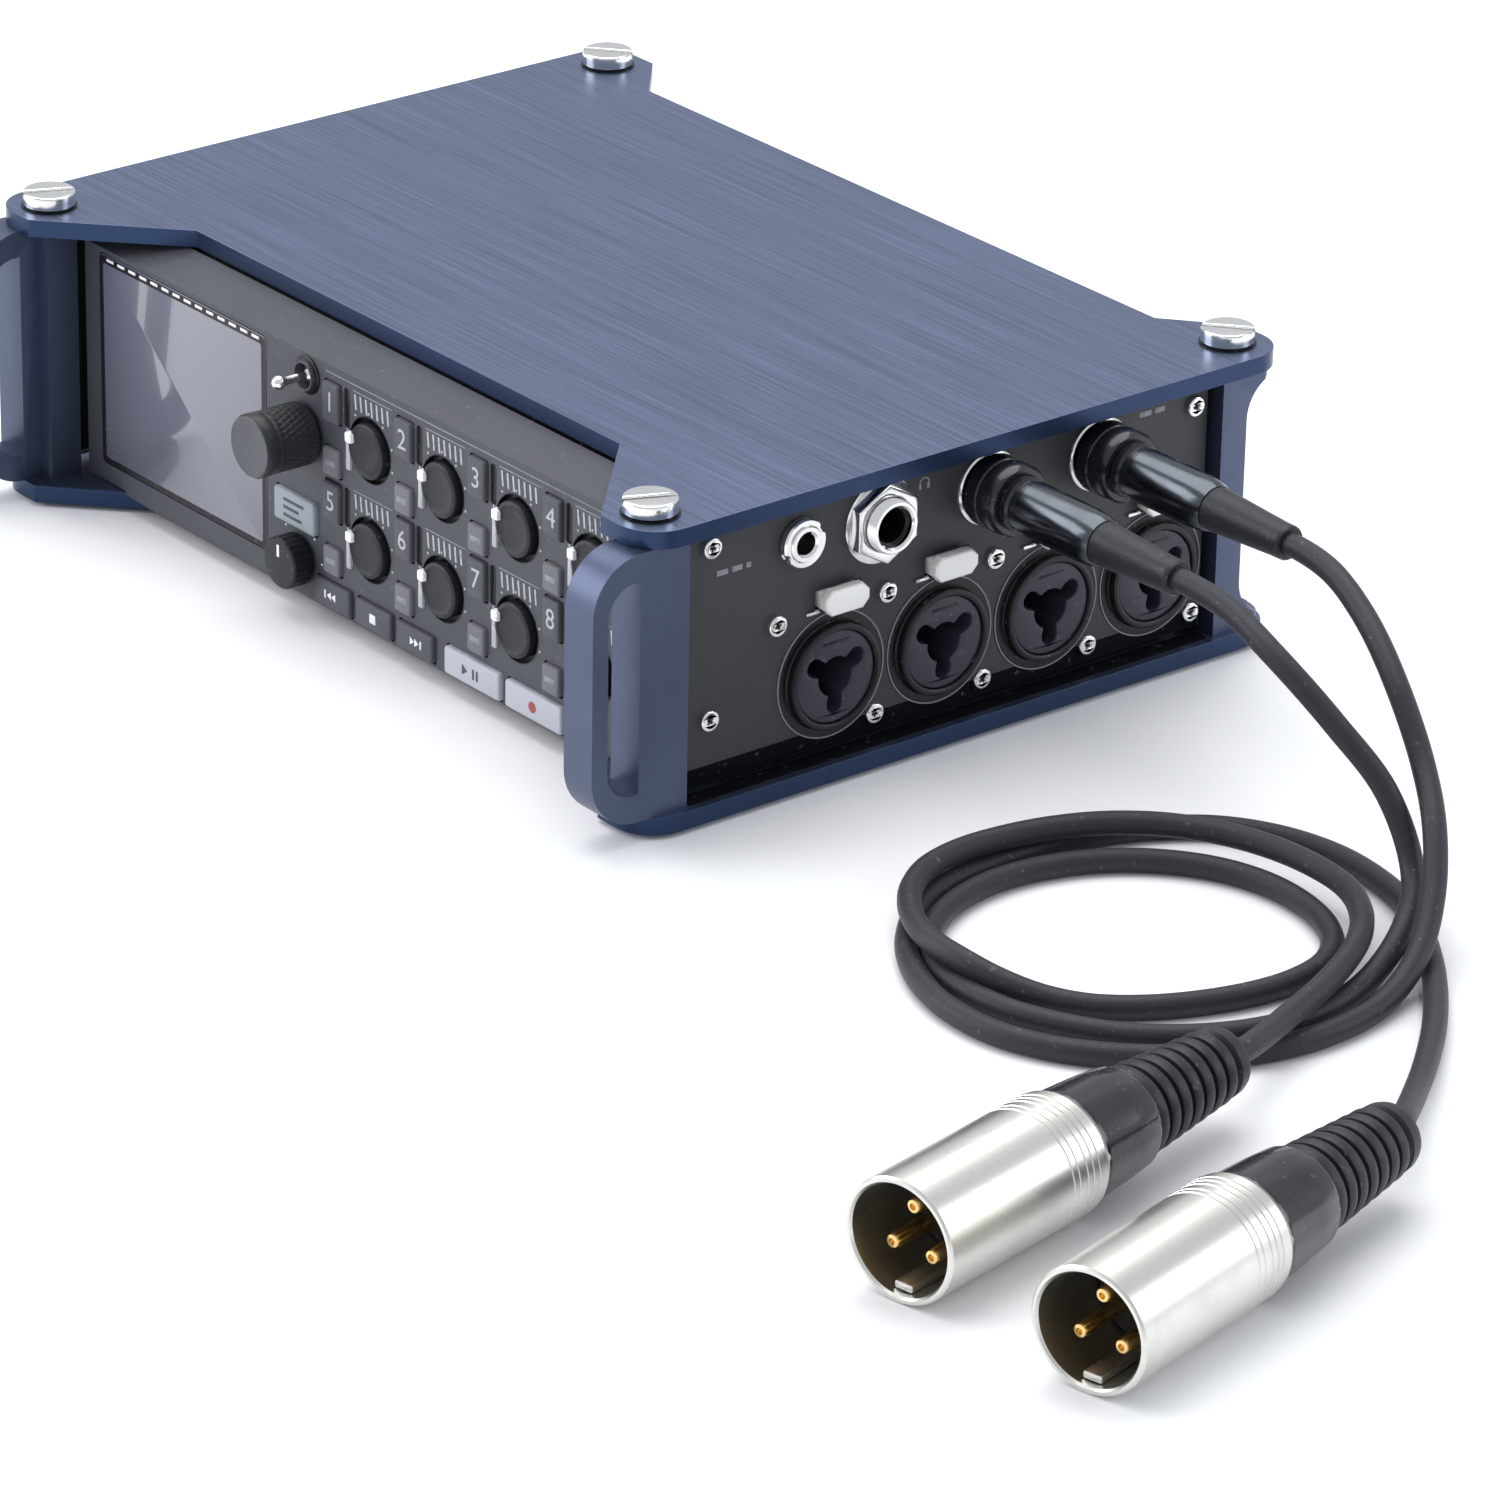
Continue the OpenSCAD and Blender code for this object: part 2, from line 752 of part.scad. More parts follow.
// A three-pin plug on its side, drawn along +z from the boot's tail to the rim
module xlr_plug() {
    shell_z = xlr_l - xlr_shell_l;
    grip_z = xlr_l - xlr_grip_l;
    rotate_extrude() polygon([
        [0, 0], [xlr_boot_r[2], 0], [xlr_boot_r[1], xlr_nose_l], [xlr_boot_r[0], grip_z],
        [xlr_grip_r[1], grip_z], [xlr_grip_r[0], shell_z], [xlr_r, shell_z], [xlr_r, xlr_l],
        [xlr_r - xlr_wall, xlr_l], [xlr_r - xlr_wall, xlr_l - xlr_open_l],
        [0, xlr_l - xlr_open_l],
    ]);
    for (a = [0, 120, 240]) rotate([0, 0, a]) {
        translate([xlr_pin_ring, 0, xlr_l - xlr_open_l]) {
            cylinder(h = xlr_open_l - 3, r = xlr_pin_r);
        }
    }
}

module xlr_plugs() {
    color("#c9c9c4") for (i = [0, 1]) {
        translate([xlr_tails[i].x, xlr_tails[i].y, xlr_r]) {
            rotate([90, 0, xlr_turns[i]]) xlr_plug();
        }
    }
}

bottom_plate();
top_plate();
corner_bumpers();
side_panel_right();
side_panel_left();
front_fascia();
display_window();
rear_panel();
circuit_boards();
corner_screws();
panel_screws();
combo_jacks();
monitor_jacks();
output_sockets();
rear_sockets();
feet();
trim_knob(1);  // trim_knob_1
trim_knob(2);  // trim_knob_2
trim_knob(3);  // trim_knob_3
trim_knob(4);  // trim_knob_4
trim_knob(5);  // trim_knob_5
trim_knob(6);  // trim_knob_6
trim_knob(7);  // trim_knob_7
trim_knob(8);  // trim_knob_8
panel_key(around(1, track_key), "#5b5f68");  // track_key_1
panel_key(around(2, track_key), "#5b5f68");  // track_key_2
panel_key(around(3, track_key), "#5b5f68");  // track_key_3
panel_key(around(4, track_key), "#5b5f68");  // track_key_4
panel_key(around(5, track_key), "#5b5f68");  // track_key_5
panel_key(around(6, track_key), "#5b5f68");  // track_key_6
panel_key(around(7, track_key), "#5b5f68");  // track_key_7
panel_key(around(8, track_key), "#5b5f68");  // track_key_8
panel_key(around(1, listen_key), "#6c6e78");  // listen_key_1
panel_key(around(2, listen_key), "#6c6e78");  // listen_key_2
panel_key(around(3, listen_key), "#6c6e78");  // listen_key_3
panel_key(around(4, listen_key), "#6c6e78");  // listen_key_4
panel_key(around(5, listen_key), "#6c6e78");  // listen_key_5
panel_key(around(6, listen_key), "#6c6e78");  // listen_key_6
panel_key(around(7, listen_key), "#6c6e78");  // listen_key_7
panel_key(around(8, listen_key), "#6c6e78");  // listen_key_8
panel_key(rewind_at, "#4a4d55");  // rewind_key
panel_key(stop_at, "#4a4d55");  // stop_key
panel_key(forward_at, "#4a4d55");  // forward_key
panel_key(play_at, "#b9b7c5");  // play_key
panel_key(record_at, "#aaaab5");  // record_key
panel_key(menu_at, "#a5acb7");  // menu_key
encoder_knob();
volume_knob();
slate_lever();
release_tab(1);  // release_tab_1
release_tab(2);  // release_tab_2
release_tab(3);  // release_tab_3
release_tab(4);  // release_tab_4
cord_coil();
front_cord_lead();
rear_cord_lead();
front_cord_tail();
rear_cord_tail();
output_plugs();
xlr_plugs();
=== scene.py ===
"""Visual model of a portable eight-channel field recorder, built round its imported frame."""

from __future__ import annotations

import logging
import math
from dataclasses import dataclass, field
from enum import Enum
from typing import Any, Callable, Mapping, Sequence

import bmesh
import bpy
from mathutils import Matrix, Vector
from mathutils.geometry import tessellate_polygon


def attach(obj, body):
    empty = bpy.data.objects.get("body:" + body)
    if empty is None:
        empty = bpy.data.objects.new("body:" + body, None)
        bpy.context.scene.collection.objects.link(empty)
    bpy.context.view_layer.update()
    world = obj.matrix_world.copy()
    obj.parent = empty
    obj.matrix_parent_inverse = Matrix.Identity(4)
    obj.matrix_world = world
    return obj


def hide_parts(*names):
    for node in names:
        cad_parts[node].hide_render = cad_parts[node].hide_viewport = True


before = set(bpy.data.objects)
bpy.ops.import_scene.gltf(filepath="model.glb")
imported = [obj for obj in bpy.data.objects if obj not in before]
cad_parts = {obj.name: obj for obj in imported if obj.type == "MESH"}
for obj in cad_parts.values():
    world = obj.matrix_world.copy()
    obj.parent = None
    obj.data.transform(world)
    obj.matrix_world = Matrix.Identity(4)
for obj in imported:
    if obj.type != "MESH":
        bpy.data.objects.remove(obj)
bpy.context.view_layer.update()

log = logging.getLogger("field_recorder")
MM = 0.001
FACE_Y = -50.3  # the fascia's face
KEY_TOP = 0.8  # how far a key stands out of it
VOLUME_AT = (-15.8, 9.4)
SLATE_AT = (-13.4, 42.3)
JACK_LOBES = (150, 30, 270)  # where a combination jack's contacts are, in degrees
JACK_PIN_R = 4.7
LIGHT_AIM = (0.06, -0.02, 0.02)
Flat = Sequence[tuple[float, float]]
Colour = tuple[float, float, float]


# ------------------------------------------------------------------ shader maths


class Reading:
    """A number that varies over a surface; Python operators on it add Math nodes."""

    def __init__(self, paint: Paint, socket: bpy.types.NodeSocket) -> None:
        """Wraps an output socket.

        Args:
            paint: The material under construction.
            socket: The output that carries the number.
        """
        self.paint = paint
        self.socket = socket

    def _join(self, operation: str, first: Any, second: Any = 0.0) -> Reading:
        """Adds one Math node.

        Args:
            operation: The Math node's operation.
            first: A number or reading.
            second: A number or reading.

        Returns:
            The reading of its result.
        """
        made = self.paint.node("Math", {"operation": operation}, {0: first, 1: second})
        return Reading(self.paint, made.outputs[0])

    def __add__(self, other: Any) -> Reading:
        """Sum."""
        return self._join("ADD", self, other)

    def __sub__(self, other: Any) -> Reading:
        """Difference."""
        return self._join("SUBTRACT", self, other)

    def __rsub__(self, other: Any) -> Reading:
        """Difference, reading on the right."""
        return self._join("SUBTRACT", other, self)

    def __mul__(self, other: Any) -> Reading:
        """Product."""
        return self._join("MULTIPLY", self, other)

    def step(self, low: float, high: float) -> Reading:
        """Goes smoothly from 0 at low to 1 at high.

        Args:
            low: Where it starts to rise.
            high: Where it is 1.

        Returns:
            The smoothed reading.
        """
        made = self.paint.node(
            "MapRange",
            {"interpolation_type": "SMOOTHSTEP"},
            {"Value": self, "From Min": low, "From Max": high},
        )
        return Reading(self.paint, made.outputs["Result"])


class Paint:
    """One material's node tree, with its Principled shader already in place."""

    def __init__(self, name: str) -> None:
        """Starts an empty material.

        Args:
            name: The material's name.
        """
        self.material = bpy.data.materials.new(name)
        self.material.use_nodes = True
        self.tree = self.material.node_tree
        self.tree.nodes.clear()
        self.shader = self.node("BsdfPrincipled")
        self.node("OutputMaterial", None, {"Surface": self.shader.outputs["BSDF"]})
        self.place = self.node("TexCoord").outputs["Object"]

    def node(
        self,
        kind: str,
        settings: Mapping[str, Any] | None = None,
        inputs: Mapping[str | int, Any] | None = None,
    ) -> bpy.types.Node:
        """Adds a node.

        Args:
            kind: The node's type, without its ShaderNode prefix.
            settings: Its properties; stops are a ramp's (place, colour) pairs.
            inputs: Values, readings or sockets for its inputs.

        Returns:
            The new node.
        """
        made = self.tree.nodes.new("ShaderNode" + kind)
        for key, value in (settings or {}).items():
            if key == "stops":
                elements = made.color_ramp.elements
                while len(elements) < len(value):
                    elements.new(0.5)
                for element, (where, colour) in zip(elements, value):
                    element.position, element.color = where, (*colour, 1.0)
            else:
                setattr(made, key, value)
        for key, value in (inputs or {}).items():
            self.feed(made.inputs[key], value)
        return made

    def feed(self, socket: bpy.types.NodeSocket, value: Any) -> None:
        """Links or sets one input socket.

        Args:
            socket: The input.
            value: A reading, an output socket or a plain value.
        """
        if isinstance(value, Reading):
            value = value.socket
        if isinstance(value, bpy.types.NodeSocket):
            self.tree.links.new(value, socket)
        elif socket.type == "RGBA" and len(value) == 3:
            socket.default_value = (*value, 1.0)
        else:
            socket.default_value = value

    def dress(self, **sockets: Any) -> None:
        """Feeds the Principled shader; an underscore in a name stands for a space."""
        for key, value in sockets.items():
            self.feed(self.shader.inputs[key.replace("_", " ")], value)

    def stretch(self, scale: Sequence[float]) -> bpy.types.NodeSocket:
        """Object coordinates stretched along the axes.

        Args:
            scale: Factor along x, y and z.

        Returns:
            The vector socket.
        """
        return self.node("VectorMath", {"operation": "MULTIPLY"}, {0: self.place, 1: scale}).outputs[0]

    def noise(self, scale: float, detail: float = 3.0, vector: Any = None) -> Reading:
        """Fractal noise.

        Args:
            scale: Features to the metre.
            detail: How many finer octaves it has.
            vector: Where it is read; the object's own place if None.

        Returns:
            The noise, about 0.5.
        """
        made = self.node(
            "TexNoise", None, {"Vector": vector or self.place, "Scale": scale, "Detail": detail}
        )
        return Reading(self, made.outputs["Fac"])

    def cells(self, scale: float, vector: Any = None) -> Reading:
        """Distance to the nearest cell centre.

        Args:
            scale: Cells to the metre.
            vector: Where it is read; the object's own place if None.

        Returns:
            The distance in cells.
        """
        made = self.node("TexVoronoi", None, {"Vector": vector or self.place, "Scale": scale})
        return Reading(self, made.outputs["Distance"])

    def mix(self, share: Any, first: Any, second: Any) -> bpy.types.NodeSocket:
        """Mixes two colours.

        Args:
            share: The second colour's share.
            first: A colour or colour socket.
            second: A colour or colour socket.

        Returns:
            The colour socket.
        """
        made = self.node("Mix", {"data_type": "RGBA"}, {0: share, 6: first, 7: second})
        return made.outputs[2]

    def relief(self, height: Reading, depth_mm: float) -> bpy.types.NodeSocket:
        """Turns a height into a normal.

        Args:
            height: The relief, 0 to 1.
            depth_mm: Its depth in millimetres.

        Returns:
            The normal socket.
        """
        made = self.node("Bump", None, {"Height": height, "Distance": depth_mm * MM})
        return made.outputs["Normal"]


def shade(colour: Colour, factor: float) -> Colour:
    """A colour made lighter or darker by a factor."""
    return tuple(min(1.0, part * factor) for part in colour)


# ---------------------------------------------------------------------- finishes


@dataclass(frozen=True)
class Finish:
    """A finish that is made into one shared material on first use."""

    name: str

    def material(self) -> bpy.types.Material:
        """The material, made once.

        Returns:
            The shared material.
        """
        known = bpy.data.materials.get(self.name)
        if known:
            return known
        paint = Paint(self.name)
        self.coat(paint)
        return paint.material

    def coat(self, paint: Paint) -> None:
        """Adds the finish's nodes.

        Args:
            paint: The empty material.
        """
        raise NotImplementedError


@dataclass(frozen=True)
class BrushedAnodising(Finish):
    """Coloured anodising over aluminium brushed along the recorder's width."""

    colour: Colour = (0.112, 0.142, 0.24)
    roughness: float = 0.36
    metallic: float = 0.85
    grain: tuple[float, float, float] = (30.0, 2600.0, 2600.0)

    def coat(self, paint: Paint) -> None:
        """Adds long fine streaks, soft bands and faint handling marks.

        Args:
            paint: The empty material.
        """
        streak = paint.noise(1.0, 4.0, paint.stretch(self.grain))
        band = paint.noise(1.0, 2.0, paint.stretch([part * 0.12 for part in self.grain]))
        smudge = paint.noise(22.0, 3.0).step(0.45, 0.75)
        lay = streak.step(0.3, 0.7) * 0.6 + band * 0.4
        dark, light = shade(self.colour, 0.74), shade(self.colour, 1.27)
        paint.dress(
            Base_Color=paint.mix(lay, dark, light),
            Metallic=self.metallic,
            Roughness=lay * 0.16 + smudge * 0.05 + (self.roughness - 0.1),
            Normal=paint.relief(streak, 0.012),
        )


@dataclass(frozen=True)
class CoatedMetal(Finish):
    """Painted, cast or powder-coated metal with a fine orange-peel skin."""

    colour: Colour = (0.04, 0.042, 0.047)
    roughness: float = 0.5
    metallic: float = 0.0
    grain: float = 1400.0
    depth: float = 0.03

    def coat(self, paint: Paint) -> None:
        """Adds the skin's relief, cloudy colour and rubbed patches.

        Args:
            paint: The empty material.
        """
        skin = paint.noise(self.grain, 2.0)
        cloud = paint.noise(35.0, 4.0)
        rubbed = paint.noise(90.0, 5.0).step(0.55, 0.8)
        tone = paint.mix(cloud, shade(self.colour, 0.86), shade(self.colour, 1.14))
        paint.dress(
            Base_Color=paint.mix(rubbed * 0.25, tone, shade(self.colour, 1.45)),
            Metallic=self.metallic,
            Roughness=skin * 0.1 + cloud * 0.08 + (self.roughness - 0.09) - rubbed * 0.06,
            Normal=paint.relief(skin, self.depth),
        )


@dataclass(frozen=True)
class BareMetal(Finish):
    """Plated or solid metal with turning marks and faint fingerprints."""

    colour: Colour = (0.8, 0.8, 0.79)
    roughness: float = 0.2
    grain: tuple[float, float, float] = (900.0, 900.0, 900.0)
    depth: float = 0.004

    def coat(self, paint: Paint) -> None:
        """Adds fine marks in one direction and a little tarnish.

        Args:
            paint: The empty material.
        """
        mark = paint.noise(1.0, 3.0, paint.stretch(self.grain))
        print_ = paint.noise(140.0, 3.0).step(0.4, 0.75)
        paint.dress(
            Base_Color=paint.mix(print_ * 0.5 + mark * 0.2, self.colour, shade(self.colour, 0.8)),
            Metallic=1.0,
            Roughness=mark * 0.1 + print_ * 0.06 + (self.roughness - 0.06),
            Normal=paint.relief(mark, self.depth),
        )


@dataclass(frozen=True)
class Moulding(Finish):
    """Moulded plastic or rubber with a fine spark-eroded grain."""

    colour: Colour = (0.05, 0.052, 0.06)
    roughness: float = 0.5
    grain: float = 2200.0
    depth: float = 0.02
    sheen: float = 0.0
    coat_weight: float = 0.0
    gloss: float = 0.32

    def coat(self, paint: Paint) -> None:
        """Adds grain, uneven gloss and a trace of dust.

        Args:
            paint: The empty material.
        """
        grain = paint.cells(self.grain)
        uneven = paint.noise(60.0, 4.0)
        dust = paint.noise(900.0, 2.0).step(0.66, 0.74)
        tone = paint.mix(uneven, shade(self.colour, 0.85), shade(self.colour, 1.15))
        paint.dress(
            Base_Color=paint.mix(dust * 0.12, tone, (0.4, 0.41, 0.43)),
            Roughness=grain * 0.12 + uneven * 0.12 + (self.roughness - 0.1),
            Specular_IOR_Level=self.gloss,
            Sheen_Weight=self.sheen,
            Coat_Weight=self.coat_weight,
            Coat_Roughness=0.12,
            Normal=paint.relief(grain, self.depth),
        )


@dataclass(frozen=True)
class ScreenGlass(Finish):
    """A glossy window over an unlit grey display."""

    colour: Colour = (0.125, 0.13, 0.165)

    def coat(self, paint: Paint) -> None:
        """Adds the cell grid of the display under clear glass.

        Args:
            paint: The empty material.
        """
        grid = paint.cells(2600.0, paint.stretch((1.0, 0.0, 1.0)))
        haze = paint.noise(28.0, 2.0)
        paint.dress(
            Base_Color=paint.mix(grid * 0.4 + haze * 0.3, self.colour, shade(self.colour, 1.25)),
            Roughness=haze * 0.08 + 0.1,
            Coat_Weight=1.0,
            Coat_Roughness=0.02,
        )


@dataclass(frozen=True)
class SolderMask(Finish):
    """A green circuit board with copper tracks showing through."""

    colour: Colour = (0.02, 0.1, 0.05)

    def coat(self, paint: Paint) -> None:
        """Adds tracks and pads under the mask.

        Args:
            paint: The empty material.
        """
        track = paint.cells(160.0, paint.stretch((1.0, 0.4, 1.0))).step(0.3, 0.36)
        pad = 1 - paint.cells(420.0).step(0.18, 0.24)
        masked = paint.mix(track, shade(self.colour, 1.8), self.colour)
        paint.dress(
            Base_Color=paint.mix(pad, masked, (0.55, 0.42, 0.2)),
            Metallic=pad * 0.8,
            Roughness=0.32 - pad * 0.08,
            Normal=paint.relief(track, 0.03),
        )


@dataclass(frozen=True)
class Ink(Finish):
    """Printed ink, a little thin in places."""

    colour: Colour = (0.75, 0.76, 0.78)

    def coat(self, paint: Paint) -> None:
        """Adds the print's uneven cover.

        Args:
            paint: The empty material.
        """
        cover = paint.noise(1600.0, 2.0).step(0.25, 0.5)
        paint.dress(
            Base_Color=paint.mix(cover, shade(self.colour, 0.7), self.colour),
            Roughness=0.62 - cover * 0.12,
        )


class Slot(Enum):
    """The record's material slots."""

    PLATE = "plate_blue"
    BUMPER = "bumper_blue"
    PANEL = "panel_dark"
    FASCIA = "fascia_plastic"
    GLASS = "display_glass"
    BOARD = "board_green"
    STEEL = "bright_steel"
    JACK = "jack_plastic"
    FOOT = "foot_rubber"
    KNOB = "knob_black"
    ENCODER = "knob_grey"
    KEY = "key_grey"
    KEY_LIGHT = "key_light"
    CORD = "cord_pvc"
    PLUG = "plug_gunmetal"
    NICKEL = "plug_nickel"


PLATE_BLUE = BrushedAnodising("plate_blue_brushed")
# Painted shade: a darker copy of the plate blue for the plates' upright edge faces, standing for the shade
# and dark reflection on them
EDGE_BLUE_PAINTED_SHADE = CoatedMetal("plate_edge_painted_shade", (0.022, 0.042, 0.1), 0.3, 0.75, 2200.0, 0.01)
BUMPER_BLUE = CoatedMetal("bumper_blue_satin", (0.076, 0.093, 0.155), 0.38, 0.75, 1500.0, 0.015)
PANEL_GREY = CoatedMetal("panel_powder_coat", (0.026, 0.027, 0.031), 0.55, 0.0, 1900.0, 0.035)
FASCIA_GREY = Moulding("fascia_grey", (0.058, 0.062, 0.075), 0.46, 2400.0, 0.02)
SHADOW = Moulding("gap_shadow", (0.003, 0.003, 0.005), 0.75, 1500.0, 0.005, gloss=0.08)
# Near-black for the black plastic inserts, and also painted shade in recesses, knob wells and under the
# corner screw heads
BLACK_INSERT_AND_SHADE = Moulding("black_insert_and_painted_shade", (0.006, 0.006, 0.008), 0.35, 2600.0, 0.008)
KNOB_BLACK = Moulding("knob_soft_black", (0.011, 0.0105, 0.015), 0.4, 2600.0, 0.012)
ENCODER_FACE = Moulding("encoder_face", (0.062, 0.066, 0.078), 0.36, 2600.0, 0.01)
ENCODER_SIDE = Moulding("encoder_side", (0.024, 0.024, 0.028), 0.38, 2600.0, 0.012)
KEY_GREY = Moulding("key_silicone_grey", (0.062, 0.066, 0.08), 0.55, 2600.0, 0.012, 0.1)
KEY_SMOKE = Moulding("key_silicone_smoke", (0.13, 0.135, 0.15), 0.55, 2600.0, 0.012, 0.1)
KEY_MIST = Moulding("key_silicone_mist", (0.26, 0.29, 0.33), 0.5, 2600.0, 0.012, 0.1)
KEY_PALE = Moulding("key_silicone_pale", (0.42, 0.43, 0.49), 0.5, 2600.0, 0.012, 0.1)
JACK_BLACK = Moulding("jack_glass_filled", (0.006, 0.006, 0.008), 0.3, 1800.0, 0.02)
JACK_FACE = Moulding("jack_face", (0.03, 0.03, 0.046), 0.3, 2200.0, 0.012)
RUBBER = Moulding("foot_rubber_black", (0.018, 0.018, 0.02), 0.75, 1500.0, 0.03, 0.15)
JACKET = Moulding("cord_jacket", (0.02, 0.0215, 0.029), 0.5, 1900.0, 0.02, 0.04)
BOOT = Moulding("boot_rubber", (0.015, 0.016, 0.021), 0.42, 1900.0, 0.02, 0.03)
COLLAR = Moulding("collar_gloss", (0.01, 0.011, 0.016), 0.22, 2600.0, 0.006, 0.0, 0.4)
CHROME = BareMetal("bright_plating", (0.82, 0.82, 0.81), 0.16)
NICKEL = BareMetal("satin_nickel", (0.74, 0.73, 0.69), 0.3, (1500.0, 1500.0, 1500.0), 0.006)
TAB_METAL = CoatedMetal("tab_plating", (0.9, 0.9, 0.87), 0.34, 0.1, 900.0, 0.08)
GUNMETAL = BareMetal("gunmetal", (0.09, 0.1, 0.115), 0.2, (300.0, 300.0, 300.0), 0.001)
GOLD = BareMetal("gold_contact", (0.86, 0.6, 0.25), 0.18)
GLASS = ScreenGlass("display_window_glass")
MASK = SolderMask("board_solder_mask")
WHITE_INK = Ink("white_print", (0.8, 0.81, 0.83))
PIP_WHITE = Ink("pip_white", (1.0, 1.0, 1.0))
GREY_INK = Ink("grey_print", (0.22, 0.23, 0.26))
PALE_INK = Ink("pale_print", (0.42, 0.43, 0.46))
DARK_INK = Ink("dark_print", (0.05, 0.06, 0.08))
RED_INK = Ink("red_print", (0.35, 0.05, 0.06))
INSULATOR = Ink("socket_insulator", (0.7, 0.7, 0.66))


# ---------------------------------------------------------------- places and stock


class Facing(Enum):
    """Which way a face looks: its right, its up and its outward direction."""

    FRONT = ((1, 0, 0), (0, 0, 1), (0, -1, 0))
    REAR = ((-1, 0, 0), (0, 0, 1), (0, 1, 0))
    RIGHT = ((0, 1, 0), (0, 0, 1), (1, 0, 0))
    LEFT = ((0, -1, 0), (0, 0, 1), (-1, 0, 0))
    TOP = ((1, 0, 0), (0, 1, 0), (0, 0, 1))

    def seat(self, x: float, y: float, z: float) -> Matrix:
        """A seat on this facing.

        Args:
            x: Millimetres to the right of the recorder's middle.
            y: Millimetres to its rear.
            z: Millimetres up.

        Returns:
            The matrix from local millimetres to the frame's metres.
        """
        return seat_of(self.value, (x, y, z))


def seat_of(axes: Sequence[Sequence[float]], at: Sequence[float]) -> Matrix:
    """The matrix of three local axes at a point, in millimetres.

    Args:
        axes: The directions of local right, up and outward.
        at: The seat's place.

    Returns:
        The matrix from local millimetres to the frame's metres.
    """
    turn = Matrix([[axes[c][r] for c in range(3)] for r in range(3)]).to_4x4()
    return Matrix.Scale(MM, 4) @ Matrix.Translation(Vector(at)) @ turn


def polar(radius: float, angle: float, u: float = 0.0, v: float = 0.0) -> tuple[float, float]:
    """The point at an angle about a centre."""
    return u + radius * math.cos(angle), v + radius * math.sin(angle)


def flutes(
    beyond: float, depth: float, count: int, level: float, low: float = -99.0, high: float = 99.0
) -> Callable[[float, float, float], float]:
    """Makes a ripple of even flutes for a turned profile.

    Args:
        beyond: Only radii greater than this are fluted.
        depth: The flutes' depth.
        count: How many there are.
        level: How narrow they are, from -1 to 1.
        low: Height above which they start.
        high: Height below which they end.

    Returns:
        The ripple.
    """

    def ripple(radius: float, height: float, angle: float) -> float:
        """The radius with its flute."""
        fluted = radius > beyond and low < height < high and math.sin(count * angle) > level
        return radius - depth if fluted else radius

    return ripple


def ring(radius: float, sides: int = 32, u: float = 0.0, v: float = 0.0, start: float = 0.0) -> Flat:
    """A regular outline about a point.

    Args:
        radius: Its radius.
        sides: How many sides it has.
        u: Its centre, to the right.
        v: Its centre, up.
        start: The angle of its first corner.

    Returns:
        The outline.
    """
    return [polar(radius, start + math.tau * k / sides, u, v) for k in range(sides)]


def rounded(width: float, height: float, radius: float, u: float = 0.0, v: float = 0.0) -> Flat:
    """A rectangle with round corners about a point.

    Args:
        width: Its size to the right.
        height: Its size up.
        radius: Radius of its corners.
        u: Its centre, to the right.
        v: Its centre, up.

    Returns:
        The outline.
    """
    outline = []
    for quarter, (du, dv) in enumerate(((1, 1), (-1, 1), (-1, -1), (1, -1))):
        centre_u, centre_v = u + du * (width / 2 - radius), v + dv * (height / 2 - radius)
        for k in range(5):
            a = math.pi / 2 * (quarter + k / 4)
            outline.append(polar(radius, a, centre_u, centre_v))
    return outline


def counter_clockwise(outline: Flat) -> list[tuple[float, float]]:
    """The outline, turned round if it runs clockwise.

    Args:
        outline: The outline.

    Returns:
        The same points, counter-clockwise.
    """
    n = len(outline)
    area = sum(
        outline[k][0] * outline[(k + 1) % n][1] - outline[(k + 1) % n][0] * outline[k][1] for k in range(n)
    )
    return list(outline) if area > 0 else list(reversed(outline))


def inset(outline: Flat, depth: float) -> list[tuple[float, float]]:
    """Moves a counter-clockwise outline inwards.

    Args:
        outline: The outline.
        depth: How far in; negative moves it out.

    Returns:
        The moved outline, with as many points.
    """
    n, moved = len(outline), []
    for k in range(n):
        here = Vector(outline[k])
        before = (here - Vector(outline[k - 1])).normalized()
        after = (Vector(outline[(k + 1) % n]) - here).normalized()
        first, second = Vector((-before.y, before.x)), Vector((-after.y, after.x))
        shift = (first + second) / max(0.35, 1 + first.dot(second))
        moved.append(tuple(here + shift * depth))
    return moved


